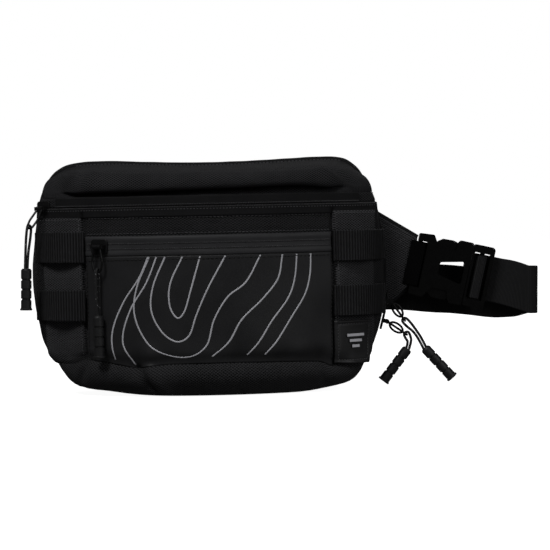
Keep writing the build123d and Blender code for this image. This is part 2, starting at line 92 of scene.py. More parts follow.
def spline(t, values):
    """Catmull-Rom through values at whole numbers."""
    v = np.concatenate([[2 * values[0] - values[1]], values, [2 * values[-1] - values[-2]]])
    i = np.clip(np.floor(t).astype(int), 0, len(values) - 2)
    f = t - i
    a, b, c, d = v[i], v[i + 1], v[i + 2], v[i + 3]
    return 0.5 * (2 * b + (c - a) * f + (2 * a - 5 * b + 4 * c - d) * f ** 2 + (3 * b - a - 3 * c + d) * f ** 3)


def smooth(x, a, b):
    """0 below a, 1 above b, smooth between."""
    t = np.clip((np.asarray(x, float) - a) / (b - a), 0, 1)
    return t * t * (3 - 2 * t)


def bump(x, middle, width):
    """A smooth hill of height 1."""
    return np.exp(-((np.asarray(x, float) - middle) / width) ** 2)


def noise(u, v, seed=0):
    """Smooth noise from -1 to 1 on a unit lattice."""
    u, v = floats(u, v)
    i, j = np.floor(u).astype(int), np.floor(v).astype(int)
    a, b = u - i, v - j
    a, b = a * a * (3 - 2 * a), b * b * (3 - 2 * b)

    def value(i, j):
        h = np.sin(i * 127.1 + j * 311.7 + seed * 74.7) * 43758.5453
        return (h - np.floor(h)) * 2 - 1

    low = value(i, j) * (1 - a) + value(i + 1, j) * a
    high = value(i, j + 1) * (1 - a) + value(i + 1, j + 1) * a
    return low * (1 - b) + high * b


def floats(*values):
    """Numbers and arrays as float arrays of one common shape."""
    return np.broadcast_arrays(*(np.asarray(k, float) for k in values))


def stacked(*values):
    """Coordinates put together as points, with plain numbers spread out."""
    return np.stack(np.broadcast_arrays(*values), -1)


def lattice(u, v):
    """The two coordinates of a grid."""
    return np.meshgrid(u, v, indexing="ij")


def unit(vectors):
    """The same directions with length 1."""
    return vectors / np.maximum(np.linalg.norm(vectors, axis=-1, keepdims=True), 1e-9)


def tangents(line):
    """Unit directions along a line of points."""
    return unit(np.gradient(line, axis=0))


def distances(line):
    """How far along a line each of its points is."""
    return np.concatenate([[0], np.cumsum(np.linalg.norm(np.diff(line, axis=0), axis=1))])


def inset(s, s0, s1, v, v0, v1, weight=1.0):
    """Distance inwards from the nearest edge of a rectangle; weight scales the distance along v."""
    return np.minimum(np.minimum(s - s0, s1 - s), np.minimum(v - v0, v1 - v) * weight)


def roll(near, edge):
    """A rolled edge: 0 at the rim, 1 from edge inwards, round between."""
    return np.sqrt(np.maximum(0, 1 - (1 - np.clip(near / edge, 0, 1)) ** 2))


# ---------------------------------------------------------------- the bag's surface

BASE_V = [0, 3, 6.5, 11, 14.5, 18, 22]
BASE_Z = [0, 0.5, 2.4, 6.5, 11, 16, 22]
WIDE_V = BASE_V + [28, 40, 53, 66, 79, 92, 105, 121, 137, 155, 163, 190]
WIDE = [62, 77, 92, 110.5, 117.5, 121.5, 126, 130.7, 135.5, 139, 141.8, 143.5, 144.3, 144.5, 143.2, 141, 137.5,
        134.5, 122]
ROUND = [182, 186.5, 190, 194, 197, 199, 200]
SEAM_S = [-160, -119, -106, -96, -75, -60, -50, -30, 0, 50, 92, 104, 125, 160]
SEAM = [25, 26.5, 29.5, 28.5, 25.5, 23, 24.5, 26, 26.6, 26.2, 24.5, 20.5, 19, 20]


def level(v):
    """Half width, front radius, corner radius, the front's half angle and the corner's y at a level."""
    wide, radius, corner = curve(v, WIDE_V, WIDE), curve(v, BASE_V, ROUND), curve(v, [0, 40], [20, 13])
    turn = np.arcsin((wide - corner) / (radius - corner))
    return wide, radius, corner, turn, AXIS_Y - (radius - corner) * np.cos(turn)


def section(s, v):
    """x, y of the level section: a front arc, a rounded corner and a straight side."""
    wide, radius, corner, turn, yc = level(v)
    q, sign = np.abs(s), np.where(s < 0, -1.0, 1.0)
    s1 = radius * turn
    s2 = s1 + corner * (math.pi / 2 - turn)
    phi = np.clip(turn + (q - s1) / corner, turn, math.pi / 2)
    x = np.where(q < s1, radius * np.sin(q / radius), wide - corner + corner * np.sin(phi))
    y = np.where(q < s1, AXIS_Y - radius * np.cos(q / radius), yc - corner * np.cos(phi))
    return sign * x, np.where(q > s2, yc + q - s2, y)


def half_length(v):
    """Distance along the level section from its middle to the back panel."""
    _, radius, corner, turn, yc = level(v)
    return radius * turn + corner * (math.pi / 2 - turn) + BACK_Y - yc


# hills (+) and dents (-): height, middle along s, its width, middle along v, its width
PINCHES = [
    # where the pocket meets the bottom seam, deepest by the fold on the left
    (-3.4, -61, 8, 26, 9), (-2.0, -88, 9, 26, 9), (-1.4, -34, 8, 26, 9), (-1.6, 24, 13, 26, 9), (-1.9, 58, 11, 26, 9),
    (-2.4, 92, 8, 26, 9), (1.7, -48, 9, 33, 9), (0.9, 76, 9, 36, 10),
    # the low end of the left wall and of the bottom panel
    (-2.4, -124, 15, 33, 13), (-2.0, 96, 4, 16, 6),
]


def relief(s, v):
    """How far the fabric stands out or in: slack panels, seam pinches and folds."""
    q, low = np.abs(s), smooth(v, 20, 34)
    out = 1.25 * noise(s / 58 + 3.1, v / 44, 1) + 0.75 * noise(s / 27, v / 31 + 9, 2)
    # the pocket's zip stays even, so that its slider runs clear
    out = out * (0.35 + 0.65 * low) * (1 - 0.8 * bump(v, POCKET_ZIP_Z, 12) * smooth(110 - q, 0, 8))
    out = out + 1.1 * smooth(POCKET_S - 4 - q, 0, 22) * bump(v, 70, 34) * low
    for height, place, wide, up, tall in PINCHES:
        out = out + height * bump(s, place, wide) * bump(v, up, tall)
    out = out - 1.7 * bump(s, -97, 5) * smooth(v, 28, 45) * smooth(102 - v, 0, 25)
    # the fold that runs down across the bottom panel
    crease = -61 + 17 * np.clip((24 - v) / 17, 0, 1)
    out = out - 3.6 * bump(s, crease, 3.8) * smooth(v, 3, 10) * smooth(27 - v, 0, 4)
    out = out + 2.8 * bump(s, crease + 9, 6) * smooth(v, 3, 9) * smooth(26 - v, 0, 4)
    out = out - 2.2 * bump(s, -112 + 0.9 * (v - 14), 4) * bump(v, 17, 6)
    # the bottom panel rolls out just below its seam, less towards the sides
    roll_out = 2.6 * smooth(126 - q, 0, 26) - 0.8 * smooth(q, 120, 150)
    out = out + roll_out * bump(v, 16.5, 4.6) * smooth(23.5 - v, 0, 3.5)
    out = out - 2.3 * bump(v, 25.0, 5.5) * smooth(v, 21, 24) * smooth(124 - q, 0, 14)
    # seams sink in
    out = out - 1.3 * bump(v, SEAM_Z, 2.0)
    out = out - 2.4 * bump(q, 106, 1.9) * smooth(v, 20, 30) * smooth(152 - v, 0, 6)
    out = out - 0.6 * bump(v, 131.5, 1.8) * smooth(POCKET_S + 4 - q, 0, 8)
    # the sides are fuller between the seams
    out = out + 2.4 * smooth(-s, 122, 152)
    out = out + 1.2 * smooth(q, 112, 135) * bump(v, 52, 18) * noise(s / 15, v / 12, 5)
    return out * smooth(v, 2, 12) * smooth(half_length(v) - q, 0, 10)


def base_point(s, v):
    """The bag's surface before relief, as an array of points."""
    s, v = floats(s, v)
    x, y = section(s, v)
    z = np.where(v < SEAM_Z, curve(v, BASE_V, BASE_Z), v)
    fade = np.where(v < SEAM_Z, smooth(v, 6, SEAM_Z), 1 - smooth(v, SEAM_Z, 46))
    lift = 2.4 * bump(x, -84, 26) * smooth(14 - v, 0, 9) * smooth(-y, -45, -5)
    return stacked(x, y, z + (curve(s, SEAM_S, SEAM) - SEAM_Z) * fade + lift)


def bag(s, v, d=0.0):
    """A point of the bag's surface at distance s from the middle, level v, standing out by d."""
    s, v = floats(s, v)
    e = 0.25
    along = base_point(s + e, v) - base_point(s - e, v)
    up = base_point(s, np.minimum(v + e, 189.9)) - base_point(s, np.maximum(v - e, 0.0))
    return base_point(s, v) + unit(np.cross(along, up)) * (relief(s, v) + d)[..., None]


# ---------------------------------------------------------------- meshes

def make(name, verts, faces, uv=None, material=None):
    """A smooth-shaded mesh object from millimetres."""
    mesh = bpy.data.meshes.new(name)
    mesh.from_pydata((np.asarray(verts, float) * MM).tolist(), [], faces)
    if uv is not None:
        layer = mesh.uv_layers.new(name="UVMap")
        index = np.empty(len(mesh.loops), int)
        mesh.loops.foreach_get("vertex_index", index)
        layer.data.foreach_set("uv", (np.asarray(uv, float) * MM)[index].astype(np.float32).ravel())
    mesh.shade_smooth()
    if material:
        mesh.materials.append(material)
    obj = bpy.data.objects.new(name, mesh)
    bpy.context.scene.collection.objects.link(obj)
    return obj


def grid(name, points, uv=None, material=None, flip=False, keep=None, round_u=False, cap=False):
    """A mesh from a grid of points, by default with its rows left to right and its columns upwards."""
    nu, nv = points.shape[:2]
    index = np.arange(nu * nv).reshape(nu, nv)
    if round_u:
        index = np.vstack([index, index[:1]])
    a, b, c, d = index[:-1, :-1], index[1:, :-1], index[1:, 1:], index[:-1, 1:]
    quads = np.stack([a, d, c, b] if flip else [a, b, c, d], -1).reshape(-1, 4)
    if keep is not None:
        quads = quads[keep.reshape(-1)]
    faces = quads.tolist()
    if cap:
        faces += [index[:nu, 0].tolist()[::-1], index[:nu, -1].tolist()]
    flat_uv = None if uv is None else uv.reshape(-1, 2)
    return make(name, points.reshape(-1, 3), faces, flat_uv, material)


def spread(a, b, step):
    """Evenly spaced numbers about a step apart, with both ends."""
    return np.linspace(a, b, max(2, int(round(abs(b - a) / step)) + 1))


def edge_steps(a, b, step, edge=0.35):
    """Like spread, with extra lines close to both ends for a rounded edge."""
    inner = spread(a + 4 * edge, b - 4 * edge, step)
    near = np.array([0, 0.25, 0.8, 1.8]) * edge
    return np.concatenate([a + near, inner, b - near[::-1]])


def patch(name, s0, s1, v0, v1, rise, material, step=2.0, sunk=0.8, extra=None, edge=0.9):
    """A raised piece with rolled edges lying on the bag's surface."""
    s, v = lattice(edge_steps(s0, s1, step), edge_steps(v0, v1, step))
    d = (rise + sunk) * roll(inset(s, s0, s1, v, v0, v1), edge) - sunk
    if extra is not None:
        d = d + extra(s, v)
    return grid(name, bag(s, v, d), stacked(s, v), material)


def tube(name, path, radius, material, sides=10):
    """A round tube along points, with closed ends."""
    path = np.asarray(path, float)
    t = tangents(path)
    up = np.array(UPRIGHT) if abs(t[0][2]) < 0.9 else np.array([0.0, 1.0, 0.0])
    side = np.cross(t, up)
    for i in range(1, len(side)):
        side[i] = unit(side[i - 1] - t[i] * np.dot(side[i - 1], t[i]))
    side[0] = unit(side[0])
    other = np.cross(t, side)
    a = np.linspace(0, 2 * math.pi, sides, endpoint=False)
    points = path + radius * (np.cos(a)[:, None, None] * side + np.sin(a)[:, None, None] * other)
    uv = stacked(a[:, None] * 0.5, distances(path)[None])
    return grid(name, points, uv, material, flip=True, round_u=True, cap=True)


def fan(name, ring, height, material, flip=False):
    """A floor that closes a ring of points, with a middle point at the height."""
    n = len(ring)
    faces = [[(i + 1) % n, i, n] if flip else [i, (i + 1) % n, n] for i in range(n)]
    uv = np.vstack([ring[:, :2], [BASE_MIDDLE]])
    return make(name, np.vstack([ring, [[*BASE_MIDDLE, height]]]), faces, uv, material)


def join(name, objects):
    """One object from several."""
    for o in bpy.context.selected_objects:
        o.select_set(False)
    for o in objects:
        o.select_set(True)
    bpy.context.view_layer.objects.active = objects[0]
    bpy.ops.object.join()
    objects[0].name = name
    return objects[0]


def resample(points, pitch):
    """Points a pitch apart along a dense line, with unit tangents."""
    points = np.asarray(points, float)
    run = distances(points)
    at = np.linspace(0, run[-1], max(2, int(run[-1] / pitch) + 1))
    out = np.stack([np.interp(at, run, points[:, k]) for k in range(3)], -1)
    return out, tangents(out)


PEG = [(-0.5, 0.35), (-0.38, 0.85), (0.0, 1.0), (0.38, 0.85), (0.5, 0.35)]   # place along a peg, its radius there
PEG_SIDES = 6


def beads(name, centres, along, length, radius, material, squash=1.0, out=None):
    """Many small rounded pegs in one mesh: stitches and zip teeth."""
    out = np.cross(along, np.array([0.3, 0.5, 0.8])) if out is None else out
    out = unit(out - along * np.sum(out * along, -1, keepdims=True))
    side = np.cross(along, out)
    a = np.linspace(0, 2 * math.pi, PEG_SIDES, endpoint=False)
    round_peg = np.cos(a)[:, None] * side[:, None] + np.sin(a)[:, None] * out[:, None] * squash
    verts = np.stack([(centres + along * at * length)[:, None] + round_peg * radius * r for at, r in PEG], 1)
    count = len(PEG) * PEG_SIDES
    base = np.arange(len(centres))[:, None] * count
    k, j = np.divmod(np.arange(count - PEG_SIDES), PEG_SIDES)
    here, beside = k * PEG_SIDES + j, k * PEG_SIDES + (j + 1) % PEG_SIDES
    one = stacked(here, beside, beside + PEG_SIDES, here + PEG_SIDES)
    quads = (base[:, None] + one[None]).reshape(-1, 4).tolist()
    end = np.arange(PEG_SIDES)[None]
    caps = (base + end[:, ::-1]).tolist() + (base + (count - PEG_SIDES) + end).tolist()
    return make(name, verts.reshape(-1, 3), quads + caps, None, material)


def stitches(name, s, v, d, material, pitch=3.0, length=2.1, radius=0.31, of=bag):
    """A row of stitches along a line on the surface."""
    centres, along = resample(of(s, v, d), pitch)
    return beads(name, centres[:-1] + np.diff(centres, axis=0) / 2, along[:-1], length, radius, material)


# ---------------------------------------------------------------- materials

class Nodes:
    """Short names for building a material's nodes."""

    def __init__(self, name):
        self.mat = bpy.data.materials.new(name)
        self.mat.use_nodes = True
        self.tree = self.mat.node_tree
        self.shader = self.tree.nodes["Principled BSDF"]

    def add(self, kind, inputs=(), **settings):
        """A node with its inputs linked to sockets or set to values."""
        node = self.tree.nodes.new(kind)
        for key, value in settings.items():
            setattr(node, key, value)
        for key, value in dict(inputs).items():
            if isinstance(value, bpy.types.NodeSocket):
                self.tree.links.new(value, node.inputs[key])
            else:
                node.inputs[key].default_value = value
        return node

    def math(self, how, a, b):
        return self.add("ShaderNodeMath", {0: a, 1: b}, operation=how).outputs[0]

    def total(self, *terms):
        """The sum of sockets, each times its weight."""
        weighted = [self.math("MULTIPLY", socket, weight) for socket, weight in terms]
        while len(weighted) > 1:
            weighted[:2] = [self.math("ADD", *weighted[:2])]
        return weighted[0]

    def space(self, kind, scale, turn=0.0, stretch=(1, 1, 1)):
        """Coordinates in metres times scale: the piece's own flat layout, or the object's space."""
        coords = self.add("ShaderNodeTexCoord").outputs[kind]
        size = tuple(scale * c for c in stretch)
        return self.add("ShaderNodeMapping", {"Vector": coords, "Scale": size, "Rotation": (0, 0, turn)}).outputs[0]

    def clouds(self, scale, detail=4.0, rough=0.5, distortion=0.0):
        """Noise in the object's space."""
        settings = {"Vector": self.space("Object", scale), "Scale": 1.0, "Detail": detail, "Roughness": rough,
                    "Distortion": distortion}
        return self.add("ShaderNodeTexNoise", settings).outputs["Fac"]

    def bands(self, vector, direction="X", scale=1.0):
        """Waves across a direction."""
        settings = {"Vector": vector, "Scale": scale}
        return self.add("ShaderNodeTexWave", settings, wave_type="BANDS", bands_direction=direction).outputs["Fac"]

    def cells(self, vector, randomness):
        """Distance to the nearest of scattered points."""
        settings = {"Vector": vector, "Scale": 1.0, "Randomness": randomness}
        return self.add("ShaderNodeTexVoronoi", settings, feature="F1").outputs["Distance"]

    def ramp(self, fac, stops):
        """A colour ramp through (place, grey or colour) stops."""
        node = self.add("ShaderNodeValToRGB", {"Fac": fac})
        for element, (at, value) in zip(node.color_ramp.elements, stops):
            element.position = at
            element.color = (*value, 1) if hasattr(value, "__len__") else (value, value, value, 1)
        return node.outputs["Color"]

    def colour(self, tone, low, dark, high, light):
        """The base colour: near-neutral grey with a trace of blue, dark at the low tone and light at the high."""
        stops = [(low, (dark, dark, dark * 1.07)), (high, (light, light, light * 1.06))]
        self.link(self.ramp(tone, stops), "Base Color")

    def gloss(self, fac, low, smoother, high, rougher):
        """Roughness between two values."""
        self.link(self.ramp(fac, [(low, smoother), (high, rougher)]), "Roughness")

    def link(self, socket, to):
        self.tree.links.new(socket, self.shader.inputs[to])

    def values(self, **inputs):
        """Sets the shader's own sockets."""
        for key, value in inputs.items():
            self.shader.inputs[key.replace("_", " ")].default_value = value

    def bump(self, height, strength, distance):
        node = self.add("ShaderNodeBump", {"Height": height, "Strength": strength, "Distance": distance})
        self.link(node.outputs["Normal"], "Normal")


WAVE = 314.0     # a wave of the wave texture is 0.314 of a unit long, so WAVE / p repeats every p mm


def fabric(name, dark, light, rough, period=1.1, diamonds=0.0, depth=0.00022, strength=0.7, sheen=0.03,
           stretch=(1, 1, 1), blotch=0.35, spec=0.12):
    """Woven cloth: crossing threads, an optional diamond ripstop, wear and uneven gloss."""
    n = Nodes(name)
    flat = n.space("UV", WAVE / period, stretch=stretch)
    weave = n.math("MULTIPLY", n.bands(flat, "X"), n.bands(flat, "Y"))
    cloudy = n.clouds(38, 4.0, 0.6)
    height = n.total((weave, 1.0), (n.clouds(900, 2.0), 0.35))
    mixed = [(weave, 0.7)]
    if diamonds:
        lines = [n.bands(n.space("UV", WAVE / diamonds, math.radians(turn), stretch)) for turn in (58, -58)]
        ridge = n.math("POWER", n.math("MAXIMUM", *lines), 5.0)
        height = n.total((height, 1.0), (ridge, 1.25))
        mixed = [(weave, 0.25), (ridge, 0.75)]
    n.colour(n.total(*mixed, (cloudy, blotch)), 0.12, dark, 0.95, light)
    n.gloss(cloudy, 0.3, rough - 0.06, 0.7, rough + 0.08)
    n.values(Sheen_Weight=sheen, Sheen_Roughness=0.5, Specular_IOR_Level=spec)
    n.bump(height, strength, depth)
    return n.mat


def moulded(name, dark, light, rough, grain_scale=1400.0, depth=0.00006, metallic=0.0, coat=0.0, spec=0.5):
    """Moulded plastic, rubber or coated metal: a fine spark-eroded grain with scuffs in its gloss."""
    n = Nodes(name)
    scuff = n.clouds(260.0, 6.0, 0.75, 1.4)
    n.colour(n.total((n.clouds(70.0, 5.0, 0.65), 0.6), (scuff, 0.4)), 0.3, dark, 0.72, light)
    n.gloss(scuff, 0.35, rough - 0.05, 0.68, rough + 0.1)
    n.values(Metallic=metallic, Coat_Weight=coat, Specular_IOR_Level=spec)
    n.bump(n.clouds(grain_scale, 3.0, 0.55), 0.5, depth)
    return n.mat


def ribbed(name, dark, light, rough, period, depth=0.0002, fine=0.7, spec=0.15):
    """Webbing: ribs across it and fine picks along it."""
    n = Nodes(name)
    rib = n.bands(n.space("UV", WAVE / period), "Y")
    pick = n.bands(n.space("UV", WAVE / fine), "X")
    cloudy = n.clouds(60)
    n.colour(n.total((rib, 0.55), (pick, 0.3), (cloudy, 0.25)), 0.15, dark, 0.95, light)
    n.gloss(cloudy, 0.3, rough - 0.05, 0.7, rough + 0.06)
    n.values(Specular_IOR_Level=spec)
    n.bump(n.total((rib, 0.8), (pick, 0.5)), 0.8, depth)
    return n.mat


def mesh_cloth(name, dark, light):
    """Open spacer mesh: rows of round holes."""
    n = Nodes(name)
    hole = n.ramp(n.cells(n.space("UV", 1 / 0.0032), 0.0), [(0.22, 0.0), (0.42, 1.0)])
    cloudy = n.clouds(60)
    n.colour(n.total((hole, 0.7), (cloudy, 0.3)), 0.1, dark, 0.9, light)
    n.gloss(cloudy, 0.3, 0.75, 0.7, 0.9)
    n.values(Specular_IOR_Level=0.3)
    n.bump(hole, 0.9, 0.0006)
    return n.mat


def braided(name):
    """Braid with pale flecks."""
    n = Nodes(name)
    braid = n.bands(n.space("UV", 1.0), "DIAGONAL", 14.0)
    flecks = n.cells(n.space("Object", 420), 1.0)
    n.link(n.ramp(flecks, [(0.16, (0.3, 0.3, 0.31)), (0.24, (0.014, 0.014, 0.015))]), "Base Color")
    n.gloss(braid, 0.2, 0.6, 0.8, 0.75)
    n.bump(braid, 0.5, 0.0002)
    return n.mat


SHELL = fabric("shell_cloth", 0.002, 0.064, 0.72, period=0.8, diamonds=1.7, depth=0.0006, strength=0.9)
LID = fabric("lid_cloth", 0.003, 0.07, 0.82, period=0.8, diamonds=1.7, depth=0.0006, sheen=0.0, spec=0.08)
BOTTOM = fabric("bottom_cloth", 0.003, 0.06, 0.72, period=0.8, diamonds=1.6, depth=0.0004)
BACK = fabric("back_cloth", 0.010, 0.026, 0.75, period=0.8)
LINING = fabric("lining_cloth", 0.07, 0.13, 0.6, period=0.5, depth=0.00008, strength=0.4)
COATED = fabric("coated_cloth", 0.017, 0.032, 0.47, period=0.35, depth=0.00005, strength=0.35, sheen=0.03, blotch=0.8,
                spec=0.24)
BAND = fabric("band_cloth", 0.028, 0.052, 0.5, period=0.5, depth=0.00008, strength=0.4, sheen=0.03, blotch=0.8,
              spec=0.24)
TAPE = fabric("tape_cloth", 0.006, 0.034, 0.7, period=0.7, depth=0.00015, stretch=(1, 1.4, 1))
STRIP = fabric("strip_cloth", 0.004, 0.1, 0.76, period=0.8, diamonds=1.7, depth=0.0004)
BINDING = ribbed("binding_tape", 0.006, 0.02, 0.72, 1.1, depth=0.00012)
WING = fabric("wing_cloth", 0.004, 0.09, 0.74, period=0.8, diamonds=1.7, depth=0.0004)
WEB = ribbed("loop_webbing", 0.001, 0.048, 0.7, 2.4, depth=0.0008, fine=0.9)
BELT = ribbed("belt_webbing", 0.003, 0.03, 0.66, 1.1, depth=0.00016, fine=0.8)
# the wing's strap at the buckle: the belt's webbing made near black, painted shade for the shadow it lies in
SHADED_ROOT_WEB = ribbed("shaded_root_webbing", 0.001, 0.006, 0.8, 1.1, depth=0.00016, fine=0.8, spec=0.03)
AIR = mesh_cloth("spacer_mesh", 0.005, 0.035)
COIL = moulded("coil_plastic", 0.025, 0.05, 0.42)
BADGE = moulded("badge_rubber", 0.012, 0.022, 0.46, depth=0.00004)
EMBLEM = moulded("emblem_white", 0.72, 0.85, 0.5, depth=0.00003)
PLASTIC = moulded("buckle_plastic", 0.0005, 0.0015, 0.3, 1100.0, 0.00003, coat=0.25, spec=0.2)
METAL = moulded("slider_paint", 0.004, 0.014, 0.36, 1600.0, 0.00002, metallic=0.35)
WIRE = moulded("ring_paint", 0.004, 0.014, 0.32, 1600.0, 0.00002, metallic=0.35)
GRIP = moulded("grip_rubber", 0.007, 0.018, 0.5, 1300.0, 0.00005)
THREAD = moulded("thread", 0.07, 0.13, 0.6, 2500.0, 0.00003)
DARK_THREAD = moulded("dark_thread", 0.002, 0.005, 0.6, 2500.0, 0.00003)
PRINT = moulded("print_ink", 0.6, 0.78, 0.5, 900.0, 0.00003)
CORD = braided("cord_braid")


def finish_piece(obj, body, nodes=()):
    """A finished piece rides on its body and stands for its CAD nodes."""
    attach(obj, body)
    if nodes:
        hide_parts(*nodes)
    return obj


def thicken(obj, thick, offset=-1.0):
    """Gives a sheet its real thickness."""
    m = obj.modifiers.new("thickness", "SOLIDIFY")
    m.thickness, m.offset = thick * MM, offset
    m.use_even_offset = False
    return obj


# ---------------------------------------------------------------- bag body

WALL_ROWS = spread(SEAM_Z, 34, 1.0)


def wall(name, s0, s1, top, material):
    """A piece of the bag's wall between two upright lines."""
    rows = np.concatenate([WALL_ROWS, spread(35.5, top, 1.6)])
    s, v = lattice(spread(s0, s1, 1.6), rows)
    limit = half_length(v)
    s = np.clip(s, -limit, limit)
    return thicken(grid(name, bag(s, v), stacked(s, v), material), CLOTH)


def side_wall(name, sign):
    """A side wall with its fixed corner, which stands up to the lid slider's park."""
    rows = np.concatenate([WALL_ROWS, spread(35.5, ZIP_Z - 0.3, 1.6), [155, 157, 159.3, 161.5]])
    f, v = lattice(np.linspace(0, 1, 62), rows)
    start = np.where(v > ZIP_Z - 0.2, NOTCH_S, WALL_S)
    s = sign * (start + (half_length(v) - start) * f)
    return thicken(grid(name, bag(s, v), stacked(s, v), SHELL, flip=sign < 0), CLOTH)


front = wall("front_panel_cloth", -WALL_S, WALL_S, ZIP_Z - 0.3, SHELL)
finish_piece(front, "bag", ["front_panel"])
for side, sign in SIDES:
    finish_piece(side_wall(f"{side}_side_cloth", sign), "bag", [f"{side}_side_panel"])


def gusset():
    """The bottom panel: its upright band, the rounded turn and the flat base."""
    rows = [0, 0.6, 1.4, 2.3, 3.4, 4.6, 6, 7.4, 9, 10.6, 12.2, 13.8, 15.2, 16.6, 17.9, 19.1, 20.2, 21.2, 22.1]
    f, v = lattice(np.linspace(-1, 1, 260), rows)
    s = f * half_length(v)
    points = bag(s, v, 0.45 * smooth(v, 0, 8))
    band = grid("bottom_cloth", points, stacked(s, v * 1.6), BOTTOM)
    ring = points[:, 0]
    base = fan("base_cloth", ring, ring[:, 2].min(), BOTTOM, flip=True)
    return thicken(join("bottom_panel_cloth", [band, base]), 1.4)


finish_piece(gusset(), "bag", ["bottom_gusset"])


def lining():
    """The light lining, seen when the lid is open: walls, back and floor."""
    rows = np.concatenate([[4.5, 7, 10, 14, 18], spread(22, 147, 5)])
    f, v = lattice(np.linspace(-1, 1, 150), rows)
    s = f * (half_length(v) - 7.5)
    points = bag(s, v, -3.2)
    points[..., 2] = np.maximum(points[..., 2], LINING_FLOOR)
    walls = grid("lining_walls", points, stacked(s, v), LINING, flip=True)
    t = np.linspace(0, 1, 60)[:, None, None]
    rear = points[0] * (1 - t) + points[-1] * t
    rear[..., 1] = 39.5 - 0.8 * noise(rear[..., 0] / 30, rear[..., 2] / 25, 8)
    back = grid("lining_back", rear, rear[..., [0, 2]], LINING)
    return join("lining_cloth", [walls, back, fan("lining_floor", points[:, 0], LINING_FLOOR, LINING)])


finish_piece(lining(), "bag", ["lining"])


# ---------------------------------------------------------------- the back panel and its edge

TOP_X = [-146.5, -146, -144.5, -142.5, -140, -136, -132.5, -127.5, -119, -107, -94, -78, -45, -10, 25, 55, 82, 98, 107,
         114, 120, 124.5, 128, 131.5, 134.5, 138.5, 141.5, 143.5, 144.5]
TOP_Z = [105, 121, 137, 154, 164, 172.5, 178.2, 183.3, 187.8, 189.9, 190.4, 190.3, 188.8, 187.8, 188.1, 189.1, 190.3,
         190.6, 190.0, 188.2, 184.0, 179.3, 173, 166.5, 160, 148, 137, 121, 105]
LOW_X = [-146.5, -145.8, -141.4, -137.8, -132.7, -127.6, -122.5, -117.5, -110.5, -92, -77, -62, 62, 77, 92, 110.5,
         117.5, 121.5, 126, 130.7, 135.5, 139, 143.5, 144.5]
LOW_Z = [105, 79, 53, 40, 28, 22, 16, 11, 6.5, 2.4, 0.5, 0, 0, 0.5, 2.4, 6.5, 11, 16, 22, 28, 40, 53, 79, 105]


def back_panel():
    """The back panel: cloth over thin foam, seen from behind round the pads."""
    a = np.sin(np.linspace(-1, 1, 150) * math.pi / 2)
    a = np.where(a < 0, a * 145.9, a * 143.9)
    x, f = lattice(a, np.linspace(0, 1, 70))
    low, high = np.interp(x, LOW_X, LOW_Z) + 0.4, np.interp(x, TOP_X, TOP_Z) - 0.4
    z = low + (high - low) * f
    near = np.minimum(np.minimum(z - low, high - z), np.minimum(TOP_X[-1] - x, x - TOP_X[0]) * 1.5)
    edge = np.sqrt(np.clip(near / 6, 0, 1))
    soft = 0.4 * noise(x / 24, z / 22, 3)
    faces = []
    for name, y, cloth, flip in (("back_rear", PANEL_Y + (2.0 + soft) * edge, BACK, True),
                                 ("back_front", PANEL_Y - 1.6 * edge, LINING, False)):
        faces.append(grid(name, stacked(x, y, z), stacked(x, z), cloth, flip=flip))
    return join("back_panel_cloth", faces)


finish_piece(back_panel(), "bag", ["back_panel"])


def edge_route(low):
    """Dense points along the arched top edge above a height, from left to right."""
    x, z = np.array(TOP_X), np.array(TOP_Z)
    fine = np.linspace(0, len(x) - 1, 400)
    x, z = spline(fine, x), spline(fine, z)
    pick = z > low
    return stacked(x[pick], BINDING_Y, z[pick])


def binding():
    """Folded binding tape over the top edge."""
    pitch = 1.2
    path, along = resample(edge_route(140), pitch)
    out = stacked(-along[:, 2], 0.0, along[:, 0])
    a = np.linspace(0, 2 * math.pi, 16, endpoint=False)
    wide = 2.9 + 0.12 * noise(np.arange(len(path)) / 9, 0, 4)
    ring = np.cos(a)[:, None, None] * out * wide[:, None] + np.sin(a)[:, None, None] * np.array([0, 1.9, 0])
    uv = stacked(a[:, None] * 2.4, np.arange(len(path))[None] * pitch)
    return grid("top_binding", path - out * 0.9 + ring, uv, BINDING, round_u=True, cap=True)


finish_piece(binding(), "bag", ["top_piping"])


# ---------------------------------------------------------------- lid

# how far up from the wall's top to the back edge, and how far back, for the middle of the lid
LID_UP = [0, 0.01, 0.04, 0.09, 0.14, 0.15, 0.135, 0.13, 0.17, 0.25, 0.34, 0.44, 0.53, 0.61, 0.67, 0.72, 0.755, 0.785,
          0.815, 0.85, 0.885, 0.92, 0.96, 1.0]
LID_IN = [0, 0.02, 0.075, 0.125, 0.14, 0.09, 0.03, -0.018, -0.05, -0.064, -0.062, -0.05, -0.028, 0.002, 0.035, 0.08,
          0.14, 0.21, 0.30, 0.42, 0.55, 0.69, 0.84, 1.0]
SIDE_UP = [0, 0.05, 0.095, 0.14, 0.17, 0.205, 0.245, 0.29, 0.345, 0.41, 0.48, 0.55, 0.615, 0.67, 0.72, 0.765, 0.80,
           0.83, 0.86, 0.89, 0.92, 0.95, 0.98, 1.0]
SIDE_IN = [0, 0.003, 0.008, 0.015, 0.022, 0.032, 0.045, 0.065, 0.09, 0.12, 0.16, 0.205, 0.26, 0.32, 0.385, 0.455, 0.53,
           0.60, 0.675, 0.75, 0.82, 0.89, 0.955, 1.0]


def lid_point(s, k, d=0.0):
    """The lid's surface: s along the zip, k from 0 at the zip to 1 at the wall's top and 2 at the back edge."""
    s, k = floats(s, k)
    e = 0.02
    along = _lid(s + 0.3, k) - _lid(s - 0.3, k)
    up = _lid(s, np.minimum(k + e, 2)) - _lid(s, np.maximum(k - e, 0))
    return _lid(s, k) + unit(np.cross(along, up)) * np.asarray(d, float)[..., None]


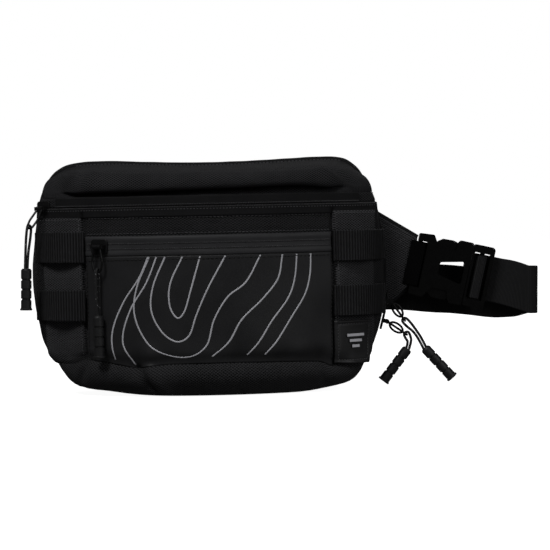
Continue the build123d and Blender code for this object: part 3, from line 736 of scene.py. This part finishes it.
def _lid(s, k):
    wall_z = 153.8 + 8.0 * np.clip(k, 0, 1)
    foot = bag(s, np.minimum(wall_z, WALL_TOP))
    q = np.clip(np.abs(s) / half_length(WALL_TOP), 0, 1) * 186
    edge = np.interp(q, [0, 100, 122, 138, 150, 160, 170, 186], [0, 100, 111, 118.5, 123.5, 127, 130, 134.3])
    x = np.where(s < 0, -edge - 6.0 * smooth(edge, 96, 134), edge)
    goal = stacked(x, 42.0, np.maximum(np.interp(x, TOP_X, TOP_Z) - 0.6, 162.0))
    at = (k - 1).clip(0, 1) * (len(LID_UP) - 1)
    # the crease under the overhanging front is deepest in the middle and dies out towards the corners
    end = smooth(np.abs(s + 4), 104, 132)
    up = spline(at, LID_UP) * (1 - end) + spline(at, SIDE_UP) * end
    inward = spline(at, LID_IN) * (1 - end) + spline(at, SIDE_IN) * end
    p = foot + (goal - foot) * inward[..., None]
    p[..., 2] = foot[..., 2] + (goal[..., 2] - foot[..., 2]) * up
    droop = curve(s, [-132, -60, 10, 72, 108, 130], [-0.6, 0, 1.4, 2.4, 0.2, -0.4])
    p[..., 2] = p[..., 2] + droop * smooth(k, 1.02, 1.12) * smooth(1.75 - k, 0, 0.4)
    top = smooth(k, 1.2, 1.45) * smooth(2.0 - k, 0, 0.12)
    puff = 0.9 * noise(s / 46 + 5, k * 3.2, 11) + 0.4 * noise(s / 20, k * 6, 12)
    # the fold that falls to the right corner, the tuck at the left one, and slack along the front edge
    fall = 104 + 34 * np.clip((1.72 - k) / 0.6, 0, 1)
    puff = puff - 3.0 * bump(s, fall, 6) * smooth(np.abs(k - 1.5), 0.42, 0.2)
    puff = puff + 2.0 * bump(s, fall - 12, 8) * bump(k, 1.55, 0.2)
    tuck = -108 + 14 * (k - 1.5)
    puff = puff - 3.2 * bump(s, tuck, 5) * bump(k, 1.62, 0.2) + 2.0 * bump(s, tuck + 12, 8) * bump(k, 1.6, 0.2)
    p[..., 2] = p[..., 2] + top * puff
    p[..., 2] = p[..., 2] - (1.5 + 0.9 * noise(s / 38, 2.0, 14)) * bump(k, 1.70, 0.05) * (1 - end)
    slack = 1.6 * noise(s / 26, 3.3, 13) * bump(k, 1.36, 0.12) + 0.8 * noise(s / 13, 1.2, 15) * bump(k, 1.45, 0.1)
    p[..., 1] = p[..., 1] - slack
    return p


def lid():
    """The lid's cloth, cut away at both ends where the fixed corners stand."""
    rows = np.concatenate([np.linspace(0, 1, 6), 1 + np.linspace(0, 1, 110)[1:]])
    limit = half_length(WALL_TOP)
    cols = np.unique(np.concatenate([np.linspace(-limit, limit, 230), [-NOTCH_S, NOTCH_S]]))
    s, k = lattice(cols, rows)
    mid_s, mid_k = (s[:-1, :-1] + s[1:, 1:]) / 2, (k[:-1, :-1] + k[1:, 1:]) / 2
    keep = (np.abs(mid_s) < NOTCH_S) | (mid_k > 1)
    return thicken(grid("lid_cloth", lid_point(s, k), stacked(s, k * 62), LID, keep=keep), CLOTH)


finish_piece(lid(), "lid", ["lid_panel"])


# ---------------------------------------------------------------- zips

def teeth(name, s0, s1, v, length, height, pitch):
    """A row of coil teeth across a zip's tape."""
    dense = np.linspace(s0, s1, int(abs(s1 - s0) / 0.8))
    low, along = resample(bag(dense, v, height), pitch)
    up = bag(dense, v + 1, height) - bag(dense, v - 1, height)
    run, at = np.linspace(0, 1, len(dense)), np.linspace(0, 1, len(low))
    up = unit(np.stack([np.interp(at, run, up[:, k]) for k in range(3)], -1))
    return beads(name, low, up, length, pitch * 0.4, COIL, squash=1.2, out=np.cross(along, up))


lower_tape = patch("lid_zip_lower", -154, 154, ZIP_Z - 8.5, ZIP_Z + 0.1, 1.4, TAPE, step=1.2, edge=0.5)
finish_piece(lower_tape, "bag", ["lid_zip_lower_tape"])
lower_teeth = teeth("lid_zip_lower_teeth", -152, 152, ZIP_Z - 0.9, 1.4, 1.35, 1.35)
finish_piece(lower_teeth, "bag", ["lid_zip_lower_coil"])


def upper_tape():
    """The lid's half of its zip, on the lid's own surface."""
    end, top = 132.6, 0.98
    s, k = lattice(edge_steps(-end, end, 2.0), edge_steps(0.0, top, 0.12, 0.03))
    d = 2.2 * roll(inset(s, -end, end, k, 0, top, 8), 0.5) - 0.8
    return grid("lid_zip_upper", lid_point(s, k, d), stacked(s, k * 8), TAPE)


finish_piece(upper_tape(), "lid", ["lid_zip_upper_tape"])


def upper_teeth():
    """The lid's row of teeth, standing upright."""
    at, along = resample(lid_point(np.linspace(-131.5, 131.5, 400), 0.11, 1.35), 1.35)
    up = np.tile(UPRIGHT, (len(at), 1))
    return beads("lid_zip_upper_teeth", at, up, 1.4, 0.54, COIL, squash=1.2, out=np.cross(along, up))


finish_piece(upper_teeth(), "lid", ["lid_zip_upper_coil"])


# ---------------------------------------------------------------- front pocket

def pocket_slack(s, v):
    """Slack in the coated panel, drawn down to the bottom seam."""
    return 0.5 * noise(s / 33, v / 46, 21) + 0.4 * noise(s / 13, v / 30, 22) * smooth(60 - v, 0, 30)


pocket = patch("pocket_cloth", -POCKET_S, POCKET_S, SEAM_Z + 0.6, 114.2, 1.7, COATED, 1.8, extra=pocket_slack)
finish_piece(pocket, "bag", ["pocket_panel"])


def pocket_band_form(s, v):
    """The band's hem lines and the shallow channel that holds the coil."""
    off = np.abs(v - POCKET_ZIP_Z)
    return -0.25 * smooth(4.3 - off, 0, 1.6) + 0.2 * bump(off, 5.6, 0.9)


band = patch("pocket_band", -POCKET_S, POCKET_S, 113.7, 130.2, 1.9, BAND, 0.9, extra=pocket_band_form)
finish_piece(band, "bag", ["pocket_zip_tape"])
rows = [teeth("row", -101, 101, POCKET_ZIP_Z + h, 1.3, 1.62, 1.5) for h in (-2.1, 2.1)]
finish_piece(join("pocket_zip_teeth", rows), "bag", ["pocket_zip_coil"])


# ---------------------------------------------------------------- side zip

def side_surface(y, a, d=0.0):
    """The right side's own cylinder, by y and angle."""
    y, a, r = np.broadcast_arrays(y, np.radians(a), SIDE_R + np.asarray(d, float))
    return stacked(SIDE_X + r * np.cos(a), y, SIDE_Z + r * np.sin(a))


def side_zip():
    """The side zip's tape, with a groove between its two rows of teeth."""
    y, a = lattice(edge_steps(22, 38, 1.0), edge_steps(-24, 16, 0.6, 0.15))
    d = 2.0 * roll(inset(y, 22, 38, a, -24, 16, 3), 0.9) - 0.9 - 0.5 * bump(y, SIDE_ZIP_Y, 1.0)
    return grid("side_zip_cloth", side_surface(y, a, d), stacked(y, a * 2.96), TAPE)


finish_piece(side_zip(), "bag", ["side_zip_tape"])


def side_teeth():
    """Two rows of teeth, their heads outwards."""
    a = np.linspace(-23.4, 15.4, 92)
    out = side_surface(SIDE_ZIP_Y, a, 1.0) - side_surface(SIDE_ZIP_Y, a)
    along = np.tile([0.0, 1.0, 0.0], (len(a), 1))
    rows = [beads("row", side_surface(y, a, 1.15), along, 2.2, 0.5, COIL, squash=1.2, out=out) for y in (28.6, 31.4)]
    return join("side_zip_teeth", rows)


finish_piece(side_teeth(), "bag", ["side_zip_coil"])


# ---------------------------------------------------------------- strips, loops and badge

def strip_slack(s, v):
    """A strip's slack, drawn in at the bottom seam."""
    slack = 0.3 * noise(s / 14, v / 26, 31) + 0.35 * bump(v, 97, 7) - 0.4 * bump(v, 60, 3)
    return slack - 1.6 * smooth(33 - v, 0, 8)


for name, sign in SIDES:
    low, high = sorted((sign * 107.5, sign * 146.5))
    piece = patch(f"{name}_strip_cloth", low, high, SEAM_Z + 1.5, 146.5, 1.3, STRIP, 1.8, extra=strip_slack)
    finish_piece(piece, "bag", [f"{name}_strip"])
flap = patch("right_corner_flap", 106.5, 150, 127.5, 147.5, 2.3, STRIP, 1.6, sunk=1.2, extra=strip_slack, edge=1.6)
finish_piece(flap, "bag")


def ribbon(name, centre, wide, width, thick, material, rib=0.06, pitch=1.5, along_ribs=True, count=None, side=1):
    """A strap along centre points, wide being the direction of its width; side -1 turns it over."""
    centre = np.asarray(centre, float)
    wide = np.broadcast_to(wide, centre.shape)
    out = np.cross(tangents(centre), wide) * side
    q = np.linspace(-1, 1, count or max(16, int(width / 0.8)))
    q = np.sign(q) * (1 - (1 - np.abs(q)) ** 1.6)
    run = distances(centre)
    rim = thick / width
    edge = np.sqrt(np.clip(1 - np.maximum(0, np.abs(q) - (1 - rim)) ** 2 / rim ** 2, 0, 1))[:, None]
    q = (q * width / 2)[:, None]
    ridge = np.abs(np.sin(math.pi * (q if along_ribs else run) / pitch))
    half = (thick / 2 * edge + rib * (ridge - 0.5) * edge)[..., None]
    face = centre + wide * q[..., None]
    points = np.concatenate([face + out * half, (face - out * half)[::-1][1:-1]])
    uv = stacked(np.concatenate([q, q[::-1][1:-1]]), run)
    return grid(name, points, uv, material, round_u=True, cap=True)


def loop(name, sign, z):
    """A bowed webbing loop with its ends sewn flat and turned under."""
    a = np.linspace(29.7, 45.2, 120)
    lift = np.clip((a - 30.9) / 13.1, 0, 1)
    rise = 6.3 * np.sin(math.pi * lift) ** 0.85
    rise = rise + 0.5 * np.exp(-(lift / 0.05) ** 2) + 0.5 * np.exp(-((1 - lift) / 0.05) ** 2)
    radius, turn = FRONT_R + 2.2 + rise, np.radians(sign * a)
    centre = stacked(radius * np.sin(turn), AXIS_Y - radius * np.cos(turn), z)
    return ribbon(name, centre, UPRIGHT, LOOP_STRAP, LOOP_THICK, WEB, rib=0.28, pitch=2.4, along_ribs=False, count=26,
                  side=sign)


for name, sign in SIDES:
    for place, z in (("lower", 74.0), ("upper", 120.0)):
        shift = -1.4 * sign if place == "upper" else 0.0
        finish_piece(loop(f"{name}_{place}_webbing", sign, z + shift), "bag", [f"{name}_{place}_loop"])


BADGE_EDGES = 105.6, 141.0, 24.6, 57.6     # s from and to, v from and to


def badge_form(s, v):
    """A raised rim round the badge and a shallow stitched channel inside it."""
    s0, s1, v0, v1 = BADGE_EDGES
    near = inset(s, s0, s1, v, v0, v1)
    return -0.5 * smooth(near, 1.2, 1.8) - 0.35 * bump(near, 3.0, 0.5)


badge = patch("badge_moulding", *BADGE_EDGES, 2.9, BADGE, 0.8, sunk=1.4, extra=badge_form, edge=0.8)
finish_piece(badge, "bag", ["badge_patch"])


# ---------------------------------------------------------------- stitching and print

seams = []


def row(s, v, d, thread=THREAD, **more):
    """Adds one row of stitches between listed points."""
    s, v = np.asarray(s, float), np.asarray(v, float)
    t = np.linspace(0, len(s) - 1, 40 * len(s))
    k = np.arange(len(s))
    seams.append(stitches("row", np.interp(t, k, s), np.interp(t, k, v), d, thread, **more))


row([-101, 0, 101], [110.6, 111.3, 111.6], 1.8, DARK_THREAD, pitch=3.4, length=2.4, radius=0.42)
row([-103, 103], [131.9, 131.9], 0.75)
row([-104, 104], [144.4, 144.4], 0.4)
row([-150, 150], [151.0, 151.0], 1.5, pitch=2.6, length=1.5)
row([-150, -107], [143.8, 143.8], 1.6)
row([107, 149], [145.0, 145.0], 2.4)
for sign in (-1, 1):
    row([sign * 109.3, sign * 109.3], [27, 144], 1.5)
    row([sign * 102.6, sign * 102.6], [27, 112], 1.8, DARK_THREAD, pitch=3.4, length=2.4, radius=0.36)
row([108.6, 138, 138, 108.6, 108.6], [27.6, 27.6, 54.6, 54.6, 27.6], 2.35, pitch=2.5, length=1.6, radius=0.26)
finish_piece(join("bag_stitches", seams), "bag")
lid_seams = [
    stitches("row", np.linspace(-131, 131, 300), np.full(300, 0.62), 1.05, THREAD, of=lid_point),
    stitches("row", np.linspace(-120, 120, 300), np.full(300, 1.985), 0.4, THREAD, of=lid_point),
]
finish_piece(join("lid_stitches", lid_seams), "lid")


def printed(name, lines, width=1.3):
    """Thin printed lines on the pocket: flowing contours."""
    across = np.array([-1, -0.85, 0.85, 1]) * width / 2
    made = []
    for points in lines:
        p = np.asarray(points, float)
        t = np.linspace(0, len(p) - 1, 24 * len(p))
        line = np.stack([spline(t, p[:, i]) for i in (0, 1)], -1)
        along = tangents(line)
        side = stacked(along[:, 1], -along[:, 0])
        s, v = np.moveaxis(line[:, None] + side[:, None] * across[None, :, None], -1, 0)
        height = np.array([1.72, 1.92, 1.92, 1.72]) + pocket_slack(s, v)
        inside = np.abs(s) < POCKET_S - 1
        made.append(grid("line", bag(s, v, height), None, PRINT, keep=inside[:-1, :-1] & inside[1:, 1:]))
    return join(name, made)


CONTOURS = [
    [(-79, 27), (-80, 52), (-70, 76), (-56, 96), (-48, 113)],
    [(-63, 25), (-71, 46), (-64, 70), (-50, 92), (-41, 113)],
    [(-47, 113), (-58, 88), (-60, 66), (-50, 44), (-32, 31), (-14, 30), (-2, 42), (4, 62), (15, 80), (30, 92),
     (42, 113)],
    [(-34, 113), (-44, 90), (-46, 70), (-38, 53), (-26, 45), (-16, 50), (-10, 66), (0, 88), (14, 113)],
    [(-20, 113), (-30, 92), (-31, 74), (-25, 64), (-19, 70), (-14, 86), (-6, 113)],
    [(2, 29), (16, 45), (26, 62), (43, 78), (56, 94), (60, 113)],
    [(30, 30), (41, 46), (50, 60), (64, 78), (70, 94), (72, 113)],
    [(44, 30), (56, 47), (66, 62), (78, 80), (83, 96), (84, 113)],
]
finish_piece(printed("pocket_contours", CONTOURS), "bag")


# ---------------------------------------------------------------- back pads

def pad(name, middle):
    """A back pad under spacer mesh, with rounded corners and quilted lines."""
    u, w = lattice(np.linspace(-1, 1, 110), np.linspace(-1, 1, 124))
    # a square mapped to a rounded rectangle
    hx, hz, r = 52.0, 59.0, 22.0
    x, z = u * hx, w * hz
    over = np.maximum(np.abs(x) - (hx - r), 0), np.maximum(np.abs(z) - (hz - r), 0)
    long = np.hypot(*over)
    cap = np.maximum(over[0], over[1])
    scale = np.where(long > 0, cap / np.maximum(long, 1e-6), 1.0)
    x = np.sign(x) * (np.minimum(np.abs(x), hx - r) + over[0] * scale)
    z = np.sign(z) * (np.minimum(np.abs(z), hz - r) + over[1] * scale)
    near = np.minimum(hx - np.abs(x), hz - np.abs(z))
    both = (over[0] > 0) & (over[1] > 0)
    near = np.where(both, r - np.hypot(*over) * scale, near)
    groove = 1.6 * (bump(z, 20, 1.8) + bump(z, -20, 1.8)) * smooth(near, 3, 9)
    rise = 6.9 * roll(near, 7) - groove + 0.3 * noise(x / 14, z / 14, 41) * np.clip(near / 7, 0, 1)
    points = stacked(middle + x, BACK_Y - 0.6 + rise, 98 + z)
    return grid(name, points, stacked(x, z), AIR, flip=True)


for name, x in (("left", -58), ("right", 58)):
    obj = finish_piece(pad(f"back_pad_{name}_mesh", x), "bag", [f"back_pad_{name}"])


# ---------------------------------------------------------------- wings and belt

TILT = math.radians(13.2)
BUCKLE = np.array([170.6, BELT_Y, 101.4])
ALONG = np.array([math.cos(TILT), 0.0, -math.sin(TILT)])
UP = np.array([math.sin(TILT), 0.0, math.cos(TILT)])


def buckle_frame(x, y, z=0.0):
    """A point given along, across and up the buckle."""
    x, y, z = floats(x, y, z)
    return BUCKLE + x[..., None] * ALONG + z[..., None] * UP + y[..., None] * np.array([0.0, 1.0, 0.0])


def right_wing():
    """The right wing: foam between two cloths, puffed, with a bound edge."""
    f, g = lattice(np.linspace(0, 1, 60), np.linspace(-1, 1, 84))
    top, low = (stacked(np.interp(f, [0, bend, 1], xs), np.interp(f, [0, bend, 1], zs))
                for bend, xs, zs in ((0.38, [118, 137.5, 174.2], [146, 145.6, 123.0]),
                                     (0.66, [118, 146.5, 164.2], [66, 64.8, 80.6])))
    mix = ((g + 1) / 2)[..., None]
    xz = low * (1 - mix) + top * mix
    near = (1 - np.abs(g)) * 40
    sag = 0.5 * noise(xz[..., 0] / 17, xz[..., 1] / 19, 51) - 0.7 * bump(near, 5.2, 0.8)
    made = []
    for sign in (-1, 1):
        y = BELT_Y + sign * (3.1 + sag) * roll(near, 5)
        made.append(grid("face", stacked(xz[..., 0], y, xz[..., 1]), xz, WING, flip=sign > 0))
    for edge in (low, top):
        made.append(tube("rim", np.insert(edge[:, 0], 1, BELT_Y, axis=1), 1.9, BINDING, 8))
    return join("right_wing_cloth", made)


wing = finish_piece(right_wing(), "bag", ["right_wing"])


def arc(centre, radius, a0, a1, n):
    """Points on an arc in x, y."""
    a = np.radians(np.linspace(a0, a1, n))
    return stacked(centre[0] + radius * np.cos(a), centre[1] + radius * np.sin(a))


def left_wing():
    """The left wing, folded round the bag's edge and lying behind the pads."""
    r = 7.1
    line = np.concatenate([
        stacked(spread(-112, -134, 2), BELT_Y),
        arc((-134, BELT_Y + r), r, -90, -270, 22),
        stacked(spread(-133, -72, 2), BELT_Y + 2 * r),
    ])
    along = tangents(line)
    x, y = line[:, :1], line[:, 1:]
    count = np.arange(len(x))[:, None]
    narrow = np.where(count > 30, smooth(x, -124, -72), 0.0)
    low, high = 66 + narrow * (57 - 66), 146 + narrow * (96 - 146)
    g = np.linspace(-1, 1, 70)
    near = (1 - np.abs(g)) * 38
    z = low + (high - low) * (g + 1) / 2
    soft = 0.4 * noise(count / 9, z / 18, 61) - 0.6 * bump(near, 5.2, 0.8)
    uv = stacked(distances(line)[:, None], z)
    made = []
    for sign in (-1, 1):
        d = sign * (2.7 + soft) * roll(near, 5)
        points = stacked(x + along[:, 1:] * d, y - along[:, :1] * d, z)
        made.append(grid("face", points, uv, WING, flip=sign < 0))
    for edge in (low, high):
        made.append(tube("rim", np.column_stack([line, edge]), 1.7, BINDING, 8))
    return join("left_wing_cloth", made)


wing = finish_piece(left_wing(), "bag", ["left_wing"])


def corner_path(points, radius, n=6):
    """A flat route with its corners turned on arcs."""
    p = np.asarray(points, float)
    out = [p[0]]
    for a, b, c in zip(p, p[1:], p[2:]):
        u, w = (a - b) / np.linalg.norm(a - b), (c - b) / np.linalg.norm(c - b)
        half = math.acos(np.clip(np.dot(u, w), -1, 1)) / 2
        reach = min(radius / math.tan(half), 0.48 * np.linalg.norm(a - b), 0.48 * np.linalg.norm(c - b))
        start, end = b + u * reach, b + w * reach
        for t in np.linspace(0, 1, n):
            out.append((1 - t) ** 2 * start + 2 * t * (1 - t) * b + t * t * end)
    out.append(p[-1])
    return np.array(out)


turn = corner_path([(-6, -3.8), (6.9, -3.8), (6.9, 3.8), (-17, 3.8)], 1.8)
route, _ = resample(buckle_frame(turn[:, 0], turn[:, 1]), 0.8)
# the wing's strap uses the near-black webbing: painted shade, not a darker webbing
wing_web = ribbon("wing_strap", route, UP, STRAP, STRAP_THICK, SHADED_ROOT_WEB)
finish_piece(wing_web, "bag", ["wing_webbing"])


def front_strap():
    """Through the ladder lock, along the front run and round the fold."""
    lock = corner_path([(78, 4.75), (49.8, 4.75), (52.2, -3.0), (59.2, -3.0), (59.2, 3.0), (72, 3.0)], 1.2)
    start = buckle_frame(lock[:, 0], lock[:, 1])
    fold = arc((FOLD_X, REAR_Y - FOLD_R), FOLD_R, -90, 90, 16)
    a, b = start[-1], np.array([FOLD_X, REAR_Y - 2 * FOLD_R, 76.8])
    steps = np.linspace(0, 1, 30)[1:-1]
    run = a + (b - a) * steps[:, None]
    run[:, 1] += 0.8 * np.sin(steps * 7)
    run[:, 2] += 0.7 * np.sin(steps * math.pi)
    tail = np.column_stack([fold, np.linspace(76.8, 75.9, 16)])
    line, _ = resample(np.concatenate([start, run, tail]), 0.9)
    x = line[:, 0]
    turnback = np.arange(len(x)) > len(x) // 2
    blend = np.where(turnback, np.clip((x - 242) / 24, 0, 1), 0.0)
    blend = np.where(turnback & (line[:, 1] > 52.5), 1.0, blend)
    wide = UP[None] * (1 - blend[:, None]) + np.array([0.02, 0, 1.0])[None] * blend[:, None]
    wide = unit(wide) * (1 + 0.065 * blend[:, None])
    return ribbon("front_strap", line, wide, STRAP, STRAP_THICK, BELT)


finish_piece(front_strap(), "buckle_plug", ["belt_lock_turn", "belt_front_run", "belt_fold"])


def rear_strap():
    """The belt's rear run, sagging a little."""
    x = spread(FOLD_X, -104.0, 2.0)
    places = [-FOLD_X, -256, -243, -215, -200, -190, -150, -100, 104]
    z = curve(-x, places, [76.2, 73.6, 73.2, 76.4, 78.0, 78.6, 82.0, 79, 77])
    line = stacked(x, REAR_Y + 0.7 * np.sin(x / 31), z)
    return ribbon("rear_strap", line, UPRIGHT, 41.4, STRAP_THICK, BELT)


strap = rear_strap()
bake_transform(strap)
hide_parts("belt_rear_run")


# ---------------------------------------------------------------- CAD pieces kept as they are

KEPT = {
    "buckle_female": (PLASTIC, 0.8), "buckle_male": (PLASTIC, 0.8), "buckle_arm_upper": (PLASTIC, 0.6),
    "buckle_arm_lower": (PLASTIC, 0.6), "badge_emblem": (EMBLEM, 0.12),
}
for pull in ("lid", "pocket", "side_upper", "side_lower"):
    KEPT[f"{pull}_slider"] = (METAL, 0.2)
    KEPT[f"{pull}_ring"] = (WIRE, 0.1)
    KEPT[f"{pull}_grip"] = (GRIP, 0.25)
for node, (material, size) in KEPT.items():
    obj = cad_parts[node]
    obj.data.materials.clear()
    obj.data.materials.append(material)
    bevel = obj.modifiers.new("edges", "BEVEL")
    bevel.width, bevel.segments, bevel.limit_method, bevel.angle_limit = size * MM, 3, "ANGLE", math.radians(32)
    bevel.use_clamp_overlap = "buckle" not in node


# ---------------------------------------------------------------- side rings' split links

for pull, bar, tilt in (("side_upper", (149.72, 70.07), 35), ("side_lower", (146.15, 53.46), 55)):
    a = math.radians(tilt)
    down, across = np.array([math.sin(a), 0, -math.cos(a)]), np.array([math.cos(a), 0, math.sin(a)])
    t = np.linspace(0, 2 * math.pi, 49)[:, None]
    oval = np.array([bar[0], SIDE_ZIP_Y, bar[1]]) + down * (9.2 + 6.2 * np.cos(t)) + across * 3.3 * np.sin(t)
    finish_piece(tube(f"{pull}_split_link", oval, 0.95, WIRE, 12), f"{pull}_ring")


# ---------------------------------------------------------------- cords

# points in metres from the grip round the ring and back, and the declared length
CORDS = {
    "lid": ([(-0.14984, -0.01259, 0.10495), (-0.1493, -0.01198, 0.11664), (-0.14868, -0.01129, 0.12917),
             (-0.14753, -0.01, 0.14036), (-0.1445, -0.00661, 0.13966), (-0.14565, -0.0079, 0.12847),
             (-0.14758, -0.01005, 0.11636), (-0.14811, -0.01065, 0.10485)], 0.0736),
    "pocket": ([(-0.09005, -0.03294, 0.0662), (-0.09022, -0.0333, 0.07879), (-0.09055, -0.03399, 0.09218),
                (-0.09046, -0.03381, 0.10414), (-0.08847, -0.02966, 0.10406), (-0.08856, -0.02985, 0.0921),
                (-0.0891, -0.03096, 0.07881), (-0.08892, -0.0306, 0.0662)], 0.0785),
    "side_upper": ([(0.17835, 0.03, 0.03127), (0.17476, 0.03, 0.03901), (0.16994, 0.03, 0.04628),
                    (0.16611, 0.03, 0.05182), (0.16129, 0.03, 0.05694), (0.15794, 0.03, 0.05379),
                    (0.16276, 0.03, 0.04867), (0.1679, 0.03, 0.04467), (0.17249, 0.03, 0.03774),
                    (0.17642, 0.03, 0.02953)], 0.0645),
    "side_lower": ([(0.16391, 0.03, 0.02938), (0.16624, 0.03, 0.0361), (0.16567, 0.03, 0.04037),
                    (0.16379, 0.03, 0.04499), (0.15953, 0.03, 0.04325), (0.16141, 0.03, 0.03863),
                    (0.16365, 0.03, 0.03603), (0.16186, 0.03, 0.03098)], 0.0324),
}
DIAMETER = 0.0022
for pull, (points, length) in CORDS.items():
    data = bpy.data.curves.new(f"{pull}_cord_braid", "CURVE")
    data.dimensions = "3D"
    line = data.splines.new("NURBS")
    line.points.add(len(points) - 1)
    for point, place in zip(line.points, points):
        point.co = (*place, 1)
    line.order_u = 3
    line.use_endpoint_u = True
    line.resolution_u = 10
    data.bevel_depth = DIAMETER / 2
    data.bevel_resolution = 4
    data.materials.append(CORD)
    obj = bpy.data.objects.new(f"{pull}_cord_braid", data)
    bpy.context.scene.collection.objects.link(obj)
    finish_piece(obj, f"{pull}_pull", [f"{pull}_cord"])


# ---------------------------------------------------------------- studio

scene = bpy.context.scene
ELEVATION, ROLL, DISTANCE = math.radians(2.0), math.radians(1.2), 1.6
MIDDLE = Vector((0.0533, 0.0, 0.0952))
camera = bpy.data.objects.new("camera", bpy.data.cameras.new("camera"))
scene.collection.objects.link(camera)
scene.camera = camera
camera.location = MIDDLE + Vector((0, -math.cos(ELEVATION), math.sin(ELEVATION))) * DISTANCE
level_turn = Matrix.Rotation(math.pi / 2 - ELEVATION, 3, "X")
camera.rotation_euler = (level_turn @ Matrix.Rotation(-ROLL, 3, "Z")).to_euler()
camera.data.sensor_width = 36
camera.data.lens = 36 * DISTANCE / (550 * 0.82e-3)


def lamp(name, where, size, energy, aim=(0, 0, 0.1)):
    data = bpy.data.lights.new(name, "AREA")
    data.energy, data.size = energy, size
    obj = bpy.data.objects.new(name, data)
    obj.location = where
    obj.rotation_euler = (Vector(aim) - obj.location).to_track_quat("-Z", "Y").to_euler()
    scene.collection.objects.link(obj)


lamp("key", (-0.8, -1.5, 2.0), 0.7, 21)
lamp("fill", (1.6, -1.6, 0.9), 1.2, 7)
lamp("top", (0.1, 0.1, 2.1), 1.4, 1.3)
lamp("rear", (0.6, 1.8, 1.4), 1.2, 4)

world = bpy.data.worlds.new("studio")
world.use_nodes = True
tree = world.node_tree
plain = tree.nodes["Background"]
plain.inputs["Color"].default_value = (1, 1, 1, 1)
plain.inputs["Strength"].default_value = 0.06
seen = tree.nodes.new("ShaderNodeBackground")
seen.inputs["Strength"].default_value = 1.0
seen.inputs["Color"].default_value = (1, 1, 1, 1)
path = tree.nodes.new("ShaderNodeLightPath")
mix = tree.nodes.new("ShaderNodeMixShader")
tree.links.new(path.outputs["Is Camera Ray"], mix.inputs[0])
tree.links.new(plain.outputs[0], mix.inputs[1])
tree.links.new(seen.outputs[0], mix.inputs[2])
tree.links.new(mix.outputs[0], tree.nodes["World Output"].inputs["Surface"])
scene.world = world
scene.view_settings.view_transform = "Standard"


def floor():
    """A pale plain floor."""
    n = Nodes("floor_paper")
    n.link(n.ramp(n.clouds(300.0, 3.0), [(0.3, 0.93), (0.7, 0.95)]), "Base Color")
    n.values(Roughness=0.9, Emission_Color=(1, 1, 1, 1), Emission_Strength=0.95, Specular_IOR_Level=0.1)
    far, z = 6000, -0.6
    corners = [[-far, -far, z], [far, -far, z], [far, far, z], [-far, far, z]]
    obj = make("floor", corners, [[0, 1, 2, 3]], None, n.mat)
    obj.visible_diffuse = obj.visible_glossy = False


floor()
